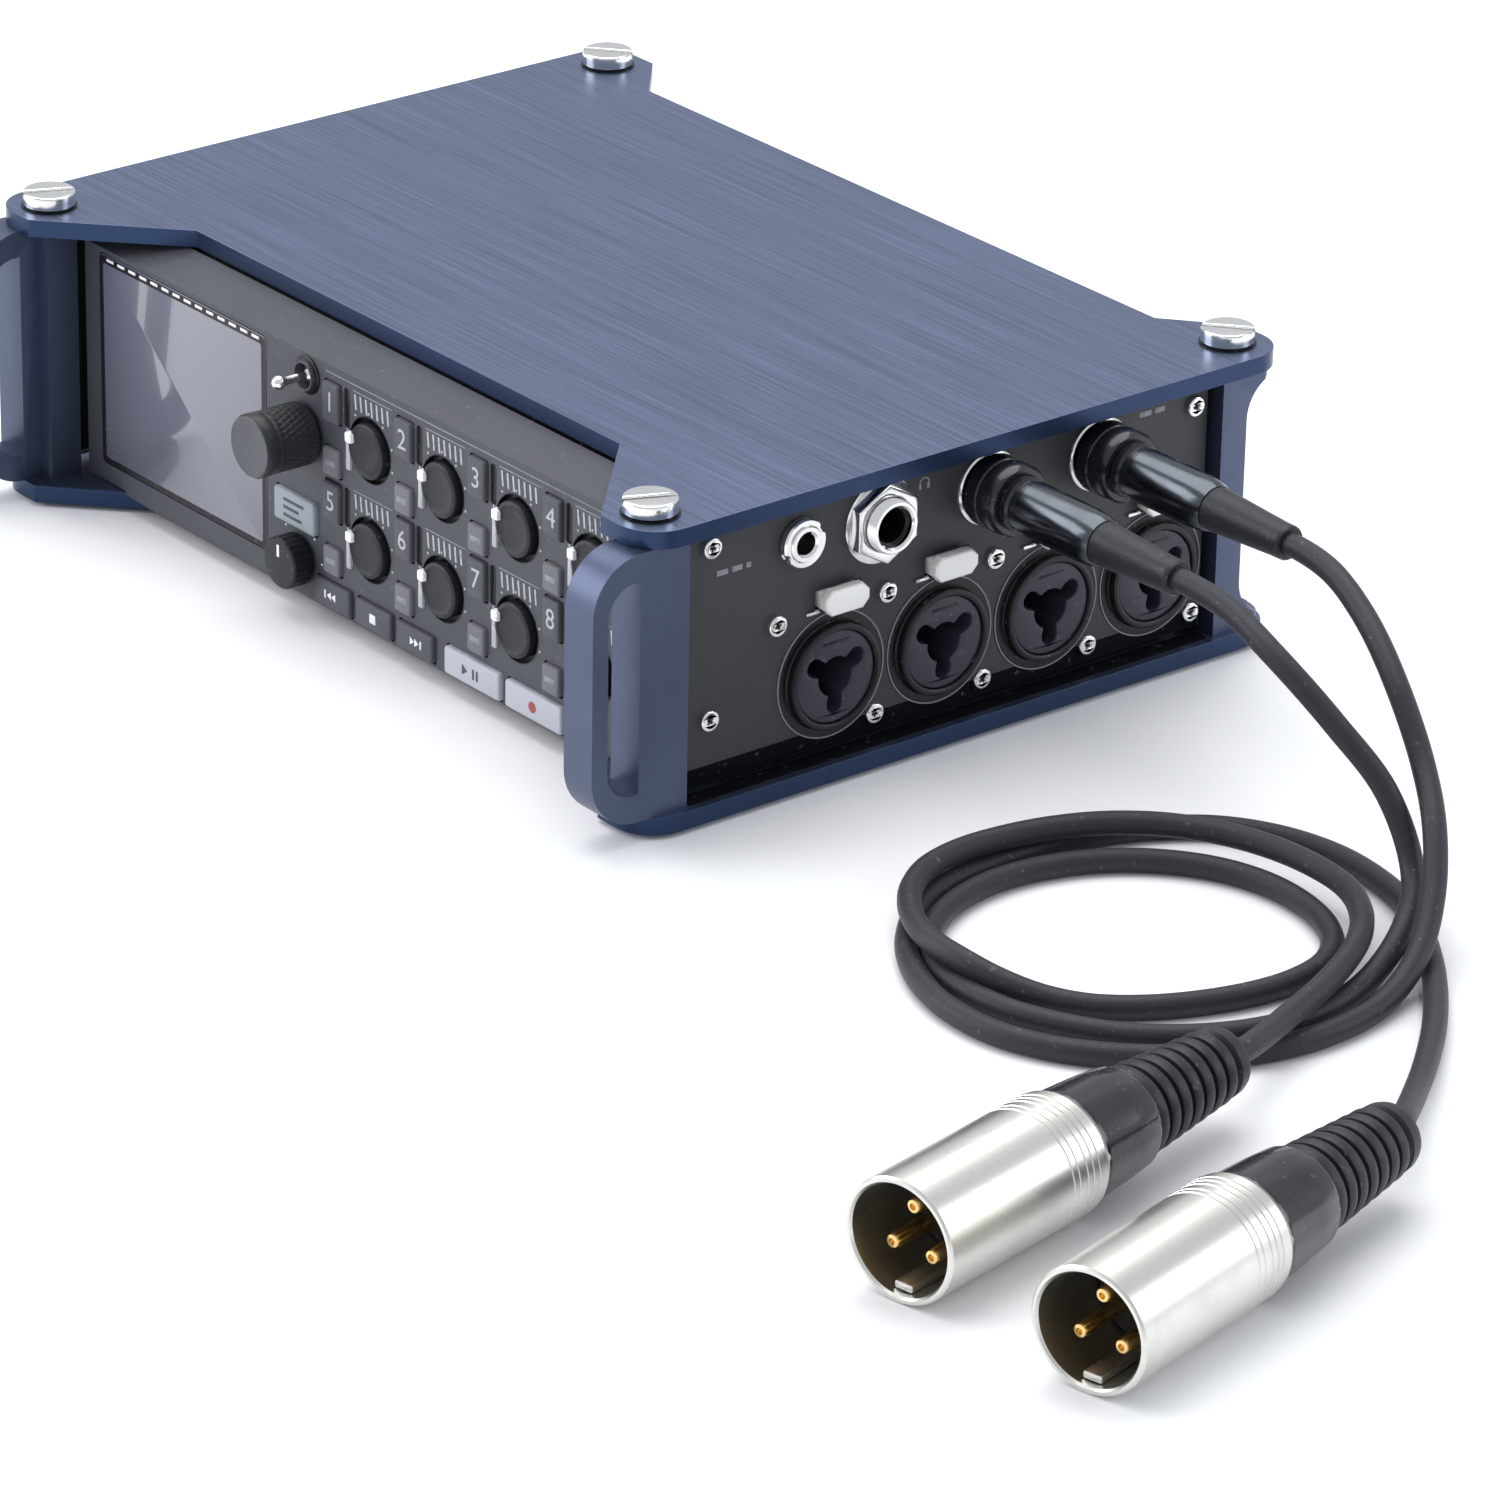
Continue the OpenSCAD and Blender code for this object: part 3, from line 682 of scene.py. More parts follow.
class Stock:
    """One piece under construction, from closed solids in millimetres on a seat."""

    def __init__(self, seat: Matrix) -> None:
        """Starts an empty piece.

        Args:
            seat: Where it is built; later solids may name another seat.
        """
        self.seat = seat
        self.points: list[Vector] = []
        self.faces: list[list[int]] = []
        self.tones: list[int] = []
        self.materials: list[bpy.types.Material] = []

    def add(self, points: Sequence[Sequence[float]], faces: Sequence[Sequence[int]], finish: Finish) -> None:
        """Adds a solid.

        Args:
            points: Its corners in local millimetres.
            faces: Its faces, by corner.
            finish: What it is finished with.
        """
        material = finish.material()
        if material not in self.materials:
            self.materials.append(material)
        base, tone = len(self.points), self.materials.index(material)
        self.points += [self.seat @ Vector(p) for p in points]
        self.faces += [[base + k for k in face] for face in faces]
        self.tones += [tone] * len(faces)

    def turn(
        self,
        profile: Flat,
        finish: Finish,
        u: float = 0.0,
        v: float = 0.0,
        sides: int = 40,
        ripple: Callable[[float, float, float], float] | None = None,
    ) -> None:
        """Turns a profile about the outward axis.

        Args:
            profile: (radius, height) pairs; it is closed on itself unless it ends on the axis.
            finish: What it is finished with.
            u: The axis' place to the right.
            v: The axis' place up.
            sides: How many sides a turn has.
            ripple: Gives a radius from the plain radius, the height and the angle.
        """
        points: list[tuple[float, float, float]] = []
        rings: list[list[int]] = []
        for radius, height in profile:
            if radius < 1e-6:
                rings.append([len(points)])
                points.append((u, v, height))
                continue
            rings.append(list(range(len(points), len(points) + sides)))
            for k in range(sides):
                a = math.tau * k / sides
                r = ripple(radius, height, a) if ripple else radius
                points.append((*polar(r, a, u, v), height))
        closed = profile[0][0] > 1e-6 and profile[-1][0] > 1e-6
        faces: list[list[int]] = []
        for k in range(len(rings) if closed else len(rings) - 1):
            low, high = rings[k], rings[(k + 1) % len(rings)]
            for m in range(sides):
                n = (m + 1) % sides
                if len(low) == 1 and len(high) > 1:
                    faces.append([low[0], high[n], high[m]])
                elif len(high) == 1 and len(low) > 1:
                    faces.append([low[m], low[n], high[0]])
                elif len(low) > 1:
                    faces.append([low[m], low[n], high[n], high[m]])
        self.add(points, faces, finish)

    def cut(
        self,
        outline: Flat,
        low: float,
        high: float,
        finish: Finish,
        holes: Sequence[Flat] = (),
        soft: float = 0.0,
        steps: int = 2,
    ) -> None:
        """Cuts a flat shape out of a slab, with its outer rim rounded off.

        Args:
            outline: Its outer edge.
            low: Height of its back.
            high: Height of its front.
            finish: What it is finished with.
            holes: Its holes.
            soft: Radius of the rounded rims in front.
            steps: How many steps the rounding has.
        """
        loops = [counter_clockwise(outline), *[counter_clockwise(hole) for hole in holes]]
        levels = [(0.0, low)]
        for k in range(steps + 1 if soft else 1):
            a = math.pi / 2 * k / steps
            levels.append((soft * (1 - math.cos(a)), high - soft * (1 - math.sin(a))))
        points: list[tuple[float, float, float]] = []
        faces: list[list[int]] = []
        starts: list[list[int]] = []
        for depth, height in levels:
            starts.append([])
            for index, loop in enumerate(loops):
                starts[-1].append(len(points))
                moved = inset(loop, depth if index == 0 else -depth) if depth else loop
                points += [(p[0], p[1], height) for p in moved]
        for below, above in zip(starts, starts[1:]):
            for index, loop in enumerate(loops):
                n = len(loop)
                for k in range(n):
                    m = (k + 1) % n
                    faces.append([below[index] + k, below[index] + m, above[index] + m, above[index] + k])
        if len(loops) == 1 and len(outline) > 3:
            fill = [list(range(len(outline)))]
        else:
            flat = [[Vector((*p, 0.0)) for p in loop] for loop in loops]
            fill = [list(t) for t in tessellate_polygon(flat)]
        top = starts[-1][0]
        faces += [list(reversed(face)) for face in fill]
        faces += [[top + k for k in face] for face in fill]
        self.add(points, faces, finish)

    def block(self, low: Sequence[float], high: Sequence[float], finish: Finish, soft: float = 0.15) -> None:
        """Adds a block with softened front edges.

        Args:
            low: Its first local corner.
            high: Its opposite local corner.
            finish: What it is finished with.
            soft: Radius of its softened edges.
        """
        width, height = high[0] - low[0], high[1] - low[1]
        radius = min(soft, width / 2.2, height / 2.2)
        outline = rounded(width, height, radius, (low[0] + high[0]) / 2, (low[1] + high[1]) / 2)
        self.cut(outline, low[2], high[2], finish, soft=min(soft, (high[2] - low[2]) / 2, radius))

    def write(self, body: str, size: float, u: float, v: float, height: float, finish: Finish) -> None:
        """Prints one character.

        Args:
            body: The character.
            size: Its height in millimetres.
            u: Its middle.
            v: Its middle, upwards.
            height: The surface that it is printed on.
            finish: The ink.
        """
        curve = bpy.data.curves.new("character", "FONT")
        curve.body, curve.size, curve.extrude = body, size, 0.02
        curve.align_x, curve.align_y, curve.resolution_u = "CENTER", "CENTER", 3
        holder = bpy.data.objects.new("character", curve)
        bpy.context.scene.collection.objects.link(holder)
        bpy.context.view_layer.update()
        mesh = bpy.data.meshes.new_from_object(holder)
        self.add(
            [(p.co.x + u, p.co.y + v, p.co.z + height) for p in mesh.vertices],
            [list(face.vertices) for face in mesh.polygons],
            finish,
        )
        bpy.data.objects.remove(holder)
        bpy.data.meshes.remove(mesh)

    def piece(
        self, name: str, body: str, slot: Slot, replaces: Sequence[str] = (), corner: float = 34.0
    ) -> bpy.types.Object:
        """Turns the stock into a piece of the recorder.

        Args:
            name: The piece's name.
            body: The body that it rides on.
            slot: The record's slot for its finish.
            replaces: The frame's nodes that it stands for.
            corner: Edges sharper than this many degrees stay sharp.

        Returns:
            The new object.
        """
        mesh = bpy.data.meshes.new(name)
        mesh.from_pydata(self.points, [], self.faces)
        for material in self.materials:
            mesh.materials.append(material)
        mesh.polygons.foreach_set("material_index", self.tones)
        work = bmesh.new()
        work.from_mesh(mesh)
        bmesh.ops.remove_doubles(work, verts=work.verts, dist=1e-7)
        bmesh.ops.recalc_face_normals(work, faces=work.faces)
        work.to_mesh(mesh)
        work.free()
        return settle(mesh, name, body, slot, replaces, corner)


def settle(
    mesh: bpy.types.Mesh, name: str, body: str, slot: Slot, replaces: Sequence[str], corner: float
) -> bpy.types.Object:
    """Shades a finished mesh, links it and tells the frame where it belongs.

    Args:
        mesh: The mesh, in the frame's metres.
        name: The piece's name.
        body: The body that it rides on.
        slot: The record's slot for its finish; not used.
        replaces: The frame's nodes that it stands for.
        corner: Edges sharper than this many degrees stay sharp.

    Returns:
        The new object.
    """
    for face in mesh.polygons:
        face.use_smooth = True
    mesh.set_sharp_from_angle(angle=math.radians(corner))
    made = bpy.data.objects.new(name, mesh)
    bpy.context.scene.collection.objects.link(made)
    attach(made, body)
    if replaces:
        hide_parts(*replaces)
    log.info("%s: %d faces, on %s", name, len(mesh.polygons), body)
    return made


def machined(
    node: str, name: str, body: str, slot: Slot, finish: Finish, chamfer: float, rim: Finish | None = None
) -> bpy.types.Object:
    """Finishes a piece from its exact solid, with its outer edges broken.

    Args:
        node: The frame's node.
        name: The new piece's name.
        body: The body that it rides on.
        slot: The record's slot for its finish.
        finish: What its faces are finished with.
        chamfer: Width of the broken edges in millimetres.
        rim: The finish of the faces that stand upright, if they differ.

    Returns:
        The new object.
    """
    work = bmesh.new()
    work.from_mesh(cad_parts[node].data)
    bmesh.ops.remove_doubles(work, verts=work.verts, dist=2e-6)
    bmesh.ops.dissolve_limit(work, angle_limit=math.radians(0.5), verts=work.verts, edges=work.edges)
    bmesh.ops.recalc_face_normals(work, faces=work.faces)
    edges = [
        e for e in work.edges if len(e.link_faces) == 2 and e.calc_face_angle_signed(0.0) > math.radians(32)
    ]
    if chamfer:
        bmesh.ops.bevel(
            work, geom=edges, offset=chamfer * MM, offset_type="OFFSET", segments=2, profile=0.5,
            affect="EDGES", clamp_overlap=True,
        )
    mesh = bpy.data.meshes.new(name)
    work.normal_update()
    for face in work.faces:
        face.material_index = 1 if rim and abs(face.normal.z) < 0.5 else 0
    work.to_mesh(mesh)
    work.free()
    mesh.materials.append(finish.material())
    if rim:
        mesh.materials.append(rim.material())
    return settle(mesh, name, body, slot, [node], 22.0)


# --------------------------------------------------------------- camera and light


@dataclass
class Studio:
    """The pale floor, the soft light and the camera."""

    azimuth: float = 50.79
    elevation: float = 24.8
    roll: float = 1.1
    target: tuple[float, float, float] = (42.21, -2.17, -17.02)
    distance: float = 1254.99
    lens: float = 184.79

    def build(self) -> None:
        """Makes the camera, the lights and the floor."""
        self.place_camera()
        self.place_lights()
        self.lay_floor()

    def place_camera(self) -> None:
        """Sets the camera that looks at the recorder from its right front."""
        az, el, roll = (math.radians(a) for a in (self.azimuth, self.elevation, self.roll))
        back = Vector((math.sin(az) * math.cos(el), -math.cos(az) * math.cos(el), math.sin(el)))
        level = Vector((math.cos(az), math.sin(az), 0.0))
        upright = back.cross(level)
        right = level * math.cos(roll) + upright * math.sin(roll)
        up = upright * math.cos(roll) - level * math.sin(roll)
        data = bpy.data.cameras.new("camera")
        data.lens, data.sensor_width, data.clip_start, data.clip_end = self.lens, 36.0, 0.05, 50.0
        camera = bpy.data.objects.new("camera", data)
        bpy.context.scene.collection.objects.link(camera)
        turn = Matrix([[axis[r] for axis in (right, up, back)] for r in range(3)]).to_4x4()
        at = (Vector(self.target) + back * self.distance) * MM
        camera.matrix_world = Matrix.Translation(at) @ turn
        bpy.context.scene.camera = camera

    def place_lights(self) -> None:
        """Sets a white surround and three large soft boxes."""
        world = bpy.data.worlds.new("studio")
        world.use_nodes = True
        world.node_tree.nodes["Background"].inputs["Color"].default_value = (0.93, 0.96, 1.0, 1.0)
        world.node_tree.nodes["Background"].inputs["Strength"].default_value = 0.72
        bpy.context.scene.world = world
        bpy.context.scene.view_settings.view_transform = "Standard"
        for name, place, size, power, tint in (
            ("soft_box_over", (-0.3, 0.15, 1.2), 1.3, 15.0, (1.0, 0.99, 0.97)),
            ("soft_box_left", (-0.9, -1.0, 0.6), 1.0, 12.0, (1.0, 1.0, 1.0)),
            ("soft_box_strip", (0.8, 0.75, 0.45), 0.5, 2.6, (0.95, 0.97, 1.0)),
        ):
            lamp = bpy.data.lights.new(name, "AREA")
            lamp.size, lamp.energy, lamp.color = size, power, tint
            holder = bpy.data.objects.new(name, lamp)
            bpy.context.scene.collection.objects.link(holder)
            aim = Vector(LIGHT_AIM) - Vector(place)
            turn = aim.to_track_quat("-Z", "Y").to_matrix().to_4x4()
            holder.matrix_world = Matrix.Translation(place) @ turn

    def lay_floor(self) -> None:
        """Lays the plain pale floor."""
        paint = Paint("studio_floor")
        patch = paint.noise(3.0, 2.0)
        tone = paint.mix(patch, (0.88, 0.89, 0.91), (0.92, 0.93, 0.95))
        paint.dress(Base_Color=tone, Roughness=patch * 0.1 + 0.55)
        mesh = bpy.data.meshes.new("floor")
        mesh.from_pydata([(-4, -4, 0), (4, -4, 0), (4, 4, 0), (-4, 4, 0)], [], [(0, 1, 2, 3)])
        mesh.materials.append(paint.material)
        floor = bpy.data.objects.new("floor", mesh)
        bpy.context.scene.collection.objects.link(floor)


# --------------------------------------------------------------------------- cords


@dataclass
class OutputCord:
    """One output cord: its route from the recorder's plug to the plug on the floor."""

    name: str
    lead: Sequence[Sequence[float]]
    turns: Sequence[Sequence[float]]
    tail: Sequence[Sequence[float]]
    nodes: Sequence[str]
    diameter: float = 3.8
    spacing: float = 1.6

    def line(self) -> list[Vector]:
        """The smooth centreline, in millimetres, with even steps.

        Returns:
            Its points from plug to plug.
        """
        knots = [Vector(p) for p in (*self.lead, *self.turns, *self.tail)]
        fine: list[Vector] = []
        for k in range(len(knots) - 1):
            a, b = knots[max(k - 1, 0)], knots[k]
            c, d = knots[k + 1], knots[min(k + 2, len(knots) - 1)]
            reach = (c - b).length
            ahead = self.slope(a, b, c) * reach
            beyond = self.slope(b, c, d) * reach
            for s in range(16):
                t = s / 16
                fine.append(
                    b * (2 * t**3 - 3 * t**2 + 1) + ahead * (t**3 - 2 * t**2 + t)
                    + c * (3 * t**2 - 2 * t**3) + beyond * (t**3 - t**2)
                )
        fine.append(knots[-1])
        even, left = [fine[0]], self.spacing
        for a, b in zip(fine, fine[1:]):
            length, start = (b - a).length, 0.0
            while length - start >= left:
                start += left
                even.append(a.lerp(b, start / length))
                left = self.spacing
            left -= length - start
        even.append(fine[-1])
        return [Vector((p.x, p.y, max(p.z, self.diameter / 2 + 0.02))) for p in even]

    @staticmethod
    def slope(before: Vector, here: Vector, after: Vector) -> Vector:
        """The direction at a knot, weighed by how near its neighbours are.

        Args:
            before: The knot before.
            here: The knot.
            after: The knot after.

        Returns:
            The unit direction.
        """
        back, on = here - before, after - here
        if back.length < 1e-6:
            return on.normalized()
        if on.length < 1e-6:
            return back.normalized()
        return (back / back.length**2 + on / on.length**2).normalized()

    def build(self, plugs: Sequence[bpy.types.Object]) -> bpy.types.Object:
        """Args:
            plugs: The pieces on its ends; not used.

        Returns:
            The cord.
        """
        points = self.line()
        curve = bpy.data.curves.new(self.name, "CURVE")
        curve.dimensions, curve.bevel_depth, curve.bevel_resolution = "3D", self.diameter / 2 * MM, 5
        curve.use_fill_caps = True
        spline = curve.splines.new("POLY")
        spline.points.add(len(points) - 1)
        for target, p in zip(spline.points, points):
            target.co = (p.x * MM, p.y * MM, p.z * MM, 1.0)
        spline.use_smooth = True
        curve.materials.append(JACKET.material())
        cord = bpy.data.objects.new(self.name, curve)
        bpy.context.scene.collection.objects.link(cord)
        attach(cord, "chassis")
        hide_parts(*self.nodes)
        length = sum((b - a).length for a, b in zip(points, points[1:])) * MM
        log.info("%s: %.0f mm long", self.name, length / MM)
        return cord


@dataclass
class OutputPlug:
    """The plug in an output socket: nose, collar, barrel and tapered strain relief."""

    name: str
    y: float
    z: float
    collar_x: tuple[float, float] = (86.1, 93.0)
    barrel_end: float = 113.0
    end: float = 131.0

    def build(self, replaces: Sequence[str] = ()) -> bpy.types.Object:
        """Makes the plug along its axis.

        Args:
            replaces: The frame's nodes that it stands for.

        Returns:
            The plug.
        """
        stock = Stock(Facing.RIGHT.seat(0.0, self.y, self.z))
        a, b, c, d = *self.collar_x, self.barrel_end, self.end
        stock.turn([(0, a - 7), (4.2, a - 7), (4.5, a - 6.7), (4.5, a), (0, a)], BLACK_INSERT_AND_SHADE)
        groove = [(6.0, a + 2.6), (5.75, a + 2.8), (5.75, a + 3.4), (6.0, a + 3.6)]
        collar = [(0, a), (5.7, a), (6.0, a + 0.3), *groove, (6.0, b - 0.9), (5.5, b - 0.1), (0, b)]
        stock.turn(collar, COLLAR)
        neck = [(0, b), (4.5, b), (4.7, b + 0.3), (4.7, b + 1.4), (4.3, b + 1.8), (4.3, b + 4), (0, b + 4)]
        stock.turn(neck, COLLAR)
        barrel = [(0, b + 3), (4.1, b + 3), (4.45, b + 3.4), (4.4, c - 4), (4.1, c - 1.2), (3.75, c - 0.1)]
        stock.turn([*barrel, (0, c)], GUNMETAL, sides=56)
        relief = [(0.0, c - 1.0), (3.5, c - 1.0), (3.6, c + 0.4)]
        for k in range(1, 8):
            s = k / 8
            relief.append((3.6 - 0.8 * s, c + 0.4 + (d - c - 2.4) * s))
        lip = [(2.85, d - 2.0), (2.85, d - 1.3), (2.6, d - 0.9), (2.1, d - 0.9), (0, d - 0.9)]
        stock.turn([*relief, *lip], BOOT)
        return stock.piece(self.name, "chassis", Slot.PLUG, replaces)


@dataclass
class FloorPlug:
    """A three-pin plug that lies on the floor."""

    name: str
    tail: tuple[float, float]
    turn: float
    length: float = 74.0
    shell: float = 35.0
    grip: float = 49.0
    radius: float = 9.5

    def build(self, replaces: Sequence[str] = ()) -> bpy.types.Object:
        """Makes the plug, from the cord's end to the rim.

        Args:
            replaces: The frame's nodes that it stands for.

        Returns:
            The plug.
        """
        t = math.radians(self.turn)
        ahead = (math.sin(t), -math.cos(t), 0.0)
        across = (math.cos(t), math.sin(t), 0.0)
        stock = Stock(seat_of((across, (0, 0, 1), ahead), (*self.tail, self.radius)))
        n, r = self.length, self.radius
        s, g = n - self.shell, n - self.grip
        grooves = []
        for z in (2.2, 3.5, 4.8, 6.6, 7.9):
            grooves += [(r, s + z), (r - 0.14, s + z + 0.1), (r - 0.14, s + z + 0.45), (r, s + z + 0.55)]
        base = [(0, s - 2), (8.4, s - 2), (9.1, s), (9.35, s + 0.3), (9.35, s + 1.1), (r, s + 1.3)]
        rim = [(r, n - 0.35), (r - 0.3, n), (r - 0.8, n), (r - 1.1, n - 0.4), (r - 1.1, n - 15), (0, n - 15)]
        stock.turn([*base, *grooves, *rim], NICKEL, sides=72)
        floor = [(0, n - 15.4), (8.3, n - 15.4), (8.3, n - 14.2), (8.0, n - 13.9), (0, n - 13.9)]
        stock.turn(floor, BLACK_INSERT_AND_SHADE)
        pin = [(0, n - 14.5), (1.2, n - 14.5), (1.2, n - 3.6), (0.95, n - 3.1), (0.5, n - 3.0)]
        for degrees in (90, 215, 325):
            u, v = polar(4.2, math.radians(degrees))
            stock.turn([*pin, (0.42, n - 3.6), (0, n - 3.7)], GOLD, u, v, 20)
        stock.block((-1.6, -8.2, n - 14), (1.6, -7.0, n - 1.5), NICKEL, 0.3)
        grip = [(0, g - 1), (7.0, g - 1), (7.7, g), (7.85, g + 0.4), (8.3, g + 5)]
        stop = [(8.75, s - 1.6), (8.9, s - 0.8), (8.7, s - 0.1), (0, s)]
        stock.turn([*grip, *stop], COLLAR, sides=56, ripple=flutes(7.5, 0.16, 6, 0.93))
        stock.turn(self.ribs(g), BOOT, sides=48)
        return stock.piece(self.name, "chassis", Slot.NICKEL, replaces)

    @staticmethod
    def ribs(height: float) -> Flat:
        """The ribbed boot's profile.

        Args:
            height: Where it meets the grip.

        Returns:
            (radius, height) pairs from the cord to the grip.
        """
        profile = [(0.0, 0.0), (2.2, 0.0), (4.2, 0.15), (5.0, 0.7), (5.3, 1.6), (5.4, 3.0)]
        count = 7
        pitch = (height - 4.4) / count
        for k in range(count):
            z, r = 3.4 + pitch * k, 5.5 + 1.55 * k / count
            profile += [
                (r - 0.75, z + 0.1), (r - 0.75, z + 0.85), (r + 0.05, z + 1.05), (r + 0.2, z + 1.6),
                (r + 0.2, z + pitch - 0.5), (r + 0.05, z + pitch - 0.05),
            ]
        return [*profile, (6.3, height - 0.7), (6.3, height), (0.0, height)]


@dataclass
class CordSet:
    """Both output cords with the plugs on their ends."""

    front: OutputCord = field(
        default_factory=lambda: OutputCord(
            "front_cord",
            lead=(
                (129, 10, 41), (133, 9.9, 41), (142, 9.2, 40.6), (154, 8, 37.5), (165.5, 10.5, 29.5),
                (174.5, 13.5, 20.5), (182, 12.5, 9.7), (187.5, 6, 6.2),
            ),
            turns=(
                (191.4, -3.2, 2.7), (194.4, -12.5, 1.95), (195.5, -21, 1.95), (194.2, -29.5, 1.95),
                (190.6, -37.7, 1.95), (184.4, -45.6, 1.95), (176, -51.4, 1.95), (166.5, -54.9, 1.95),
                (157.3, -55.4, 1.95), (148.8, -53.2, 1.95), (142.2, -48.5, 1.95), (137.3, -42.2, 1.95),
                (134.2, -34.7, 1.95), (133.1, -26.4, 1.95), (134.2, -18.2, 1.95), (137.5, -10, 1.95),
                (142.9, -3.1, 1.95), (150, 2, 1.95), (157.8, 4.5, 1.95), (166, 4.6, 1.95),
                (173.6, 2.6, 1.95), (179.9, -1.4, 1.95), (184, -7.2, 1.95), (185.5, -14.2, 1.95),
                (184.9, -22.2, 1.95), (182.6, -30.2, 1.95), (178.9, -37.7, 1.95), (173.7, -44, 1.95),
                (167.8, -48.6, 2.6), (162.3, -51.9, 4), (156, -54, 5.5), (148.2, -53.8, 5.85),
                (139.8, -50.2, 5.85), (133, -44.2, 5.85), (129, -37, 5.85), (127.8, -29.8, 5.85),
                (128.3, -22.6, 5.85), (130.1, -14.6, 5.85), (133.5, -6.9, 5.85), (139, 0, 5.85),
                (146.4, 5.4, 5.75), (155, 8.5, 5.7), (164.1, 9.3, 5.7), (172.6, 8, 5.75),
                (180.2, 3.8, 5.85), (186.8, -2.8, 5.9), (191.4, -10, 5.95),
            ),
            tail=(
                (195.2, -17.6, 6), (200.5, -30, 6.6), (205, -39, 7.9), (208, -45.5, 9),
                (209.6, -51.5, 9.5),
            ),
            nodes=("cord_coil", "front_cord_lead", "front_cord_tail"),
        )
    )
    rear: OutputCord = field(
        default_factory=lambda: OutputCord(
            "rear_cord",
            lead=(
                (129, 33, 41), (133, 32.8, 41), (141, 31.4, 40.7), (152, 28.3, 38), (164, 24, 32.5),
                (174.4, 20.7, 23.3), (183.7, 14.8, 17.2), (190.2, 8.8, 10.8), (194.8, 2.2, 5.9),
            ),
            turns=(
                (197.6, -4.5, 3), (199.8, -11.5, 1.95), (201.1, -19, 1.95), (200.9, -27.4, 1.95),
                (198.6, -35.8, 1.95), (194.2, -44, 1.95), (188, -51.6, 1.95), (180.6, -57.4, 1.95),
                (172.2, -60.8, 1.95), (163.2, -61.4, 1.95), (153.4, -59.2, 1.95), (144.4, -54.5, 1.95),
                (137.2, -48.1, 1.95), (131.9, -40.8, 1.95), (129, -32.4, 1.95), (128.1, -23.2, 1.95),
                (128.4, -13.4, 1.95), (130.3, -4.2, 1.95), (133.8, 4.8, 1.95), (139.6, 12.4, 1.95),
                (147.6, 17.5, 1.95), (157, 19.9, 1.95), (167.5, 19.3, 1.95), (174.8, 17.4, 1.95),
            ),
            tail=(
                (181.2, 14.2, 2), (195.2, 4.7, 2), (207.4, -6.4, 2.2), (218.3, -18.6, 3),
                (226.4, -28.5, 4.6), (233.5, -37, 7.2), (238.3, -43, 9), (241, -48.2, 9.5),
            ),
            nodes=("rear_cord_lead", "rear_cord_tail"),
        )
    )

    def build(self) -> None:
        """Makes the plugs and the cords between them."""
        front = [
            OutputPlug("front_output_plug", 10, 41).build(["output_plugs"]),
            FloorPlug("front_floor_plug", (209, -49.5), 11).build(["xlr_plugs"]),
        ]
        rear = [
            OutputPlug("rear_output_plug", 33, 41).build(),
            FloorPlug("rear_floor_plug", (240.4, -46), 13.5).build(),
        ]
        self.front.build(front)
        self.rear.build(rear)


# ---------------------------------------------------------------------------- case


@dataclass
class Case:
    """Plates, bumpers, panels, boards and feet of the case."""

    corner: tuple[float, float, float] = (81.2, -54.4, 63.3)
    plate_top: float = 51.6
    head: float = 4.4

    def build(self) -> None:
        """Finishes the case's pieces from their exact solids."""
        # The plates' upright edge faces get the darker blue: painted shade
        machined("top_plate", "plate_top", "chassis", Slot.PLATE, PLATE_BLUE, 0.22, EDGE_BLUE_PAINTED_SHADE)
        machined("bottom_plate", "plate_bottom", "chassis", Slot.PLATE, PLATE_BLUE, 0.22, EDGE_BLUE_PAINTED_SHADE)
        machined("corner_bumpers", "bumpers", "chassis", Slot.BUMPER, BUMPER_BLUE, 0.8)
        machined("side_panel_right", "panel_right", "chassis", Slot.PANEL, PANEL_GREY, 0.12)
        machined("side_panel_left", "panel_left", "chassis", Slot.PANEL, PANEL_GREY, 0.12)
        machined("rear_panel", "panel_rear", "chassis", Slot.PANEL, PANEL_GREY, 0.12)
        machined("circuit_boards", "boards", "chassis", Slot.BOARD, MASK, 0.05)
        machined("feet", "feet_rubber", "chassis", Slot.FOOT, RUBBER, 0.2)
        self.corner_screws()

    def corner_screws(self) -> None:
        """Makes the four slotted corner screws."""
        x, front, rear = self.corner
        stock = Stock(Facing.TOP.seat(0, 0, self.plate_top))
        for side in (-1, 1):
            for y in (front, rear):
                angle = math.radians(66 if y < 0 else 40)
                self.slotted_head(stock, side * x, y, angle)
        stock.piece("corner_screw_heads", "chassis", Slot.STEEL, ["corner_screws"])

    def slotted_head(self, stock: Stock, u: float, v: float, angle: float) -> None:
        """Adds one screw with a coin slot.

        Args:
            stock: The piece that it belongs to.
            u: Its place to the right.
            v: Its place to the rear.
            angle: How far its slot is turned.
        """
        r = self.head
        # Painted shadow: a near-black ring under the head; the shank below it is hidden in the plate
        shank_and_shade_ring = [(0, -5.5), (1.5, -5.5), (1.5, 0), (r + 0.3, 0), (r + 0.3, 0.2), (0, 0.2)]
        stock.turn(shank_and_shade_ring, BLACK_INSERT_AND_SHADE, u, v, 56)
        stock.turn([(0, 0.2), (r - 0.3, 0.2), (r, 0.5), (r, 1.5), (0, 1.5)], CHROME, u, v, 56)
        for half in (0.0, math.pi):
            start = math.asin(0.55 / r)
            outline = []
            for k in range(25):
                a = start + (math.pi - 2 * start) * k / 24
                p = Matrix.Rotation(angle + half, 2) @ Vector(polar(r, a))
                outline.append((p.x + u, p.y + v))
            stock.cut(outline, 1.5, 2.7, CHROME, soft=0.35, steps=3)


# --------------------------------------------------------------------- front panel


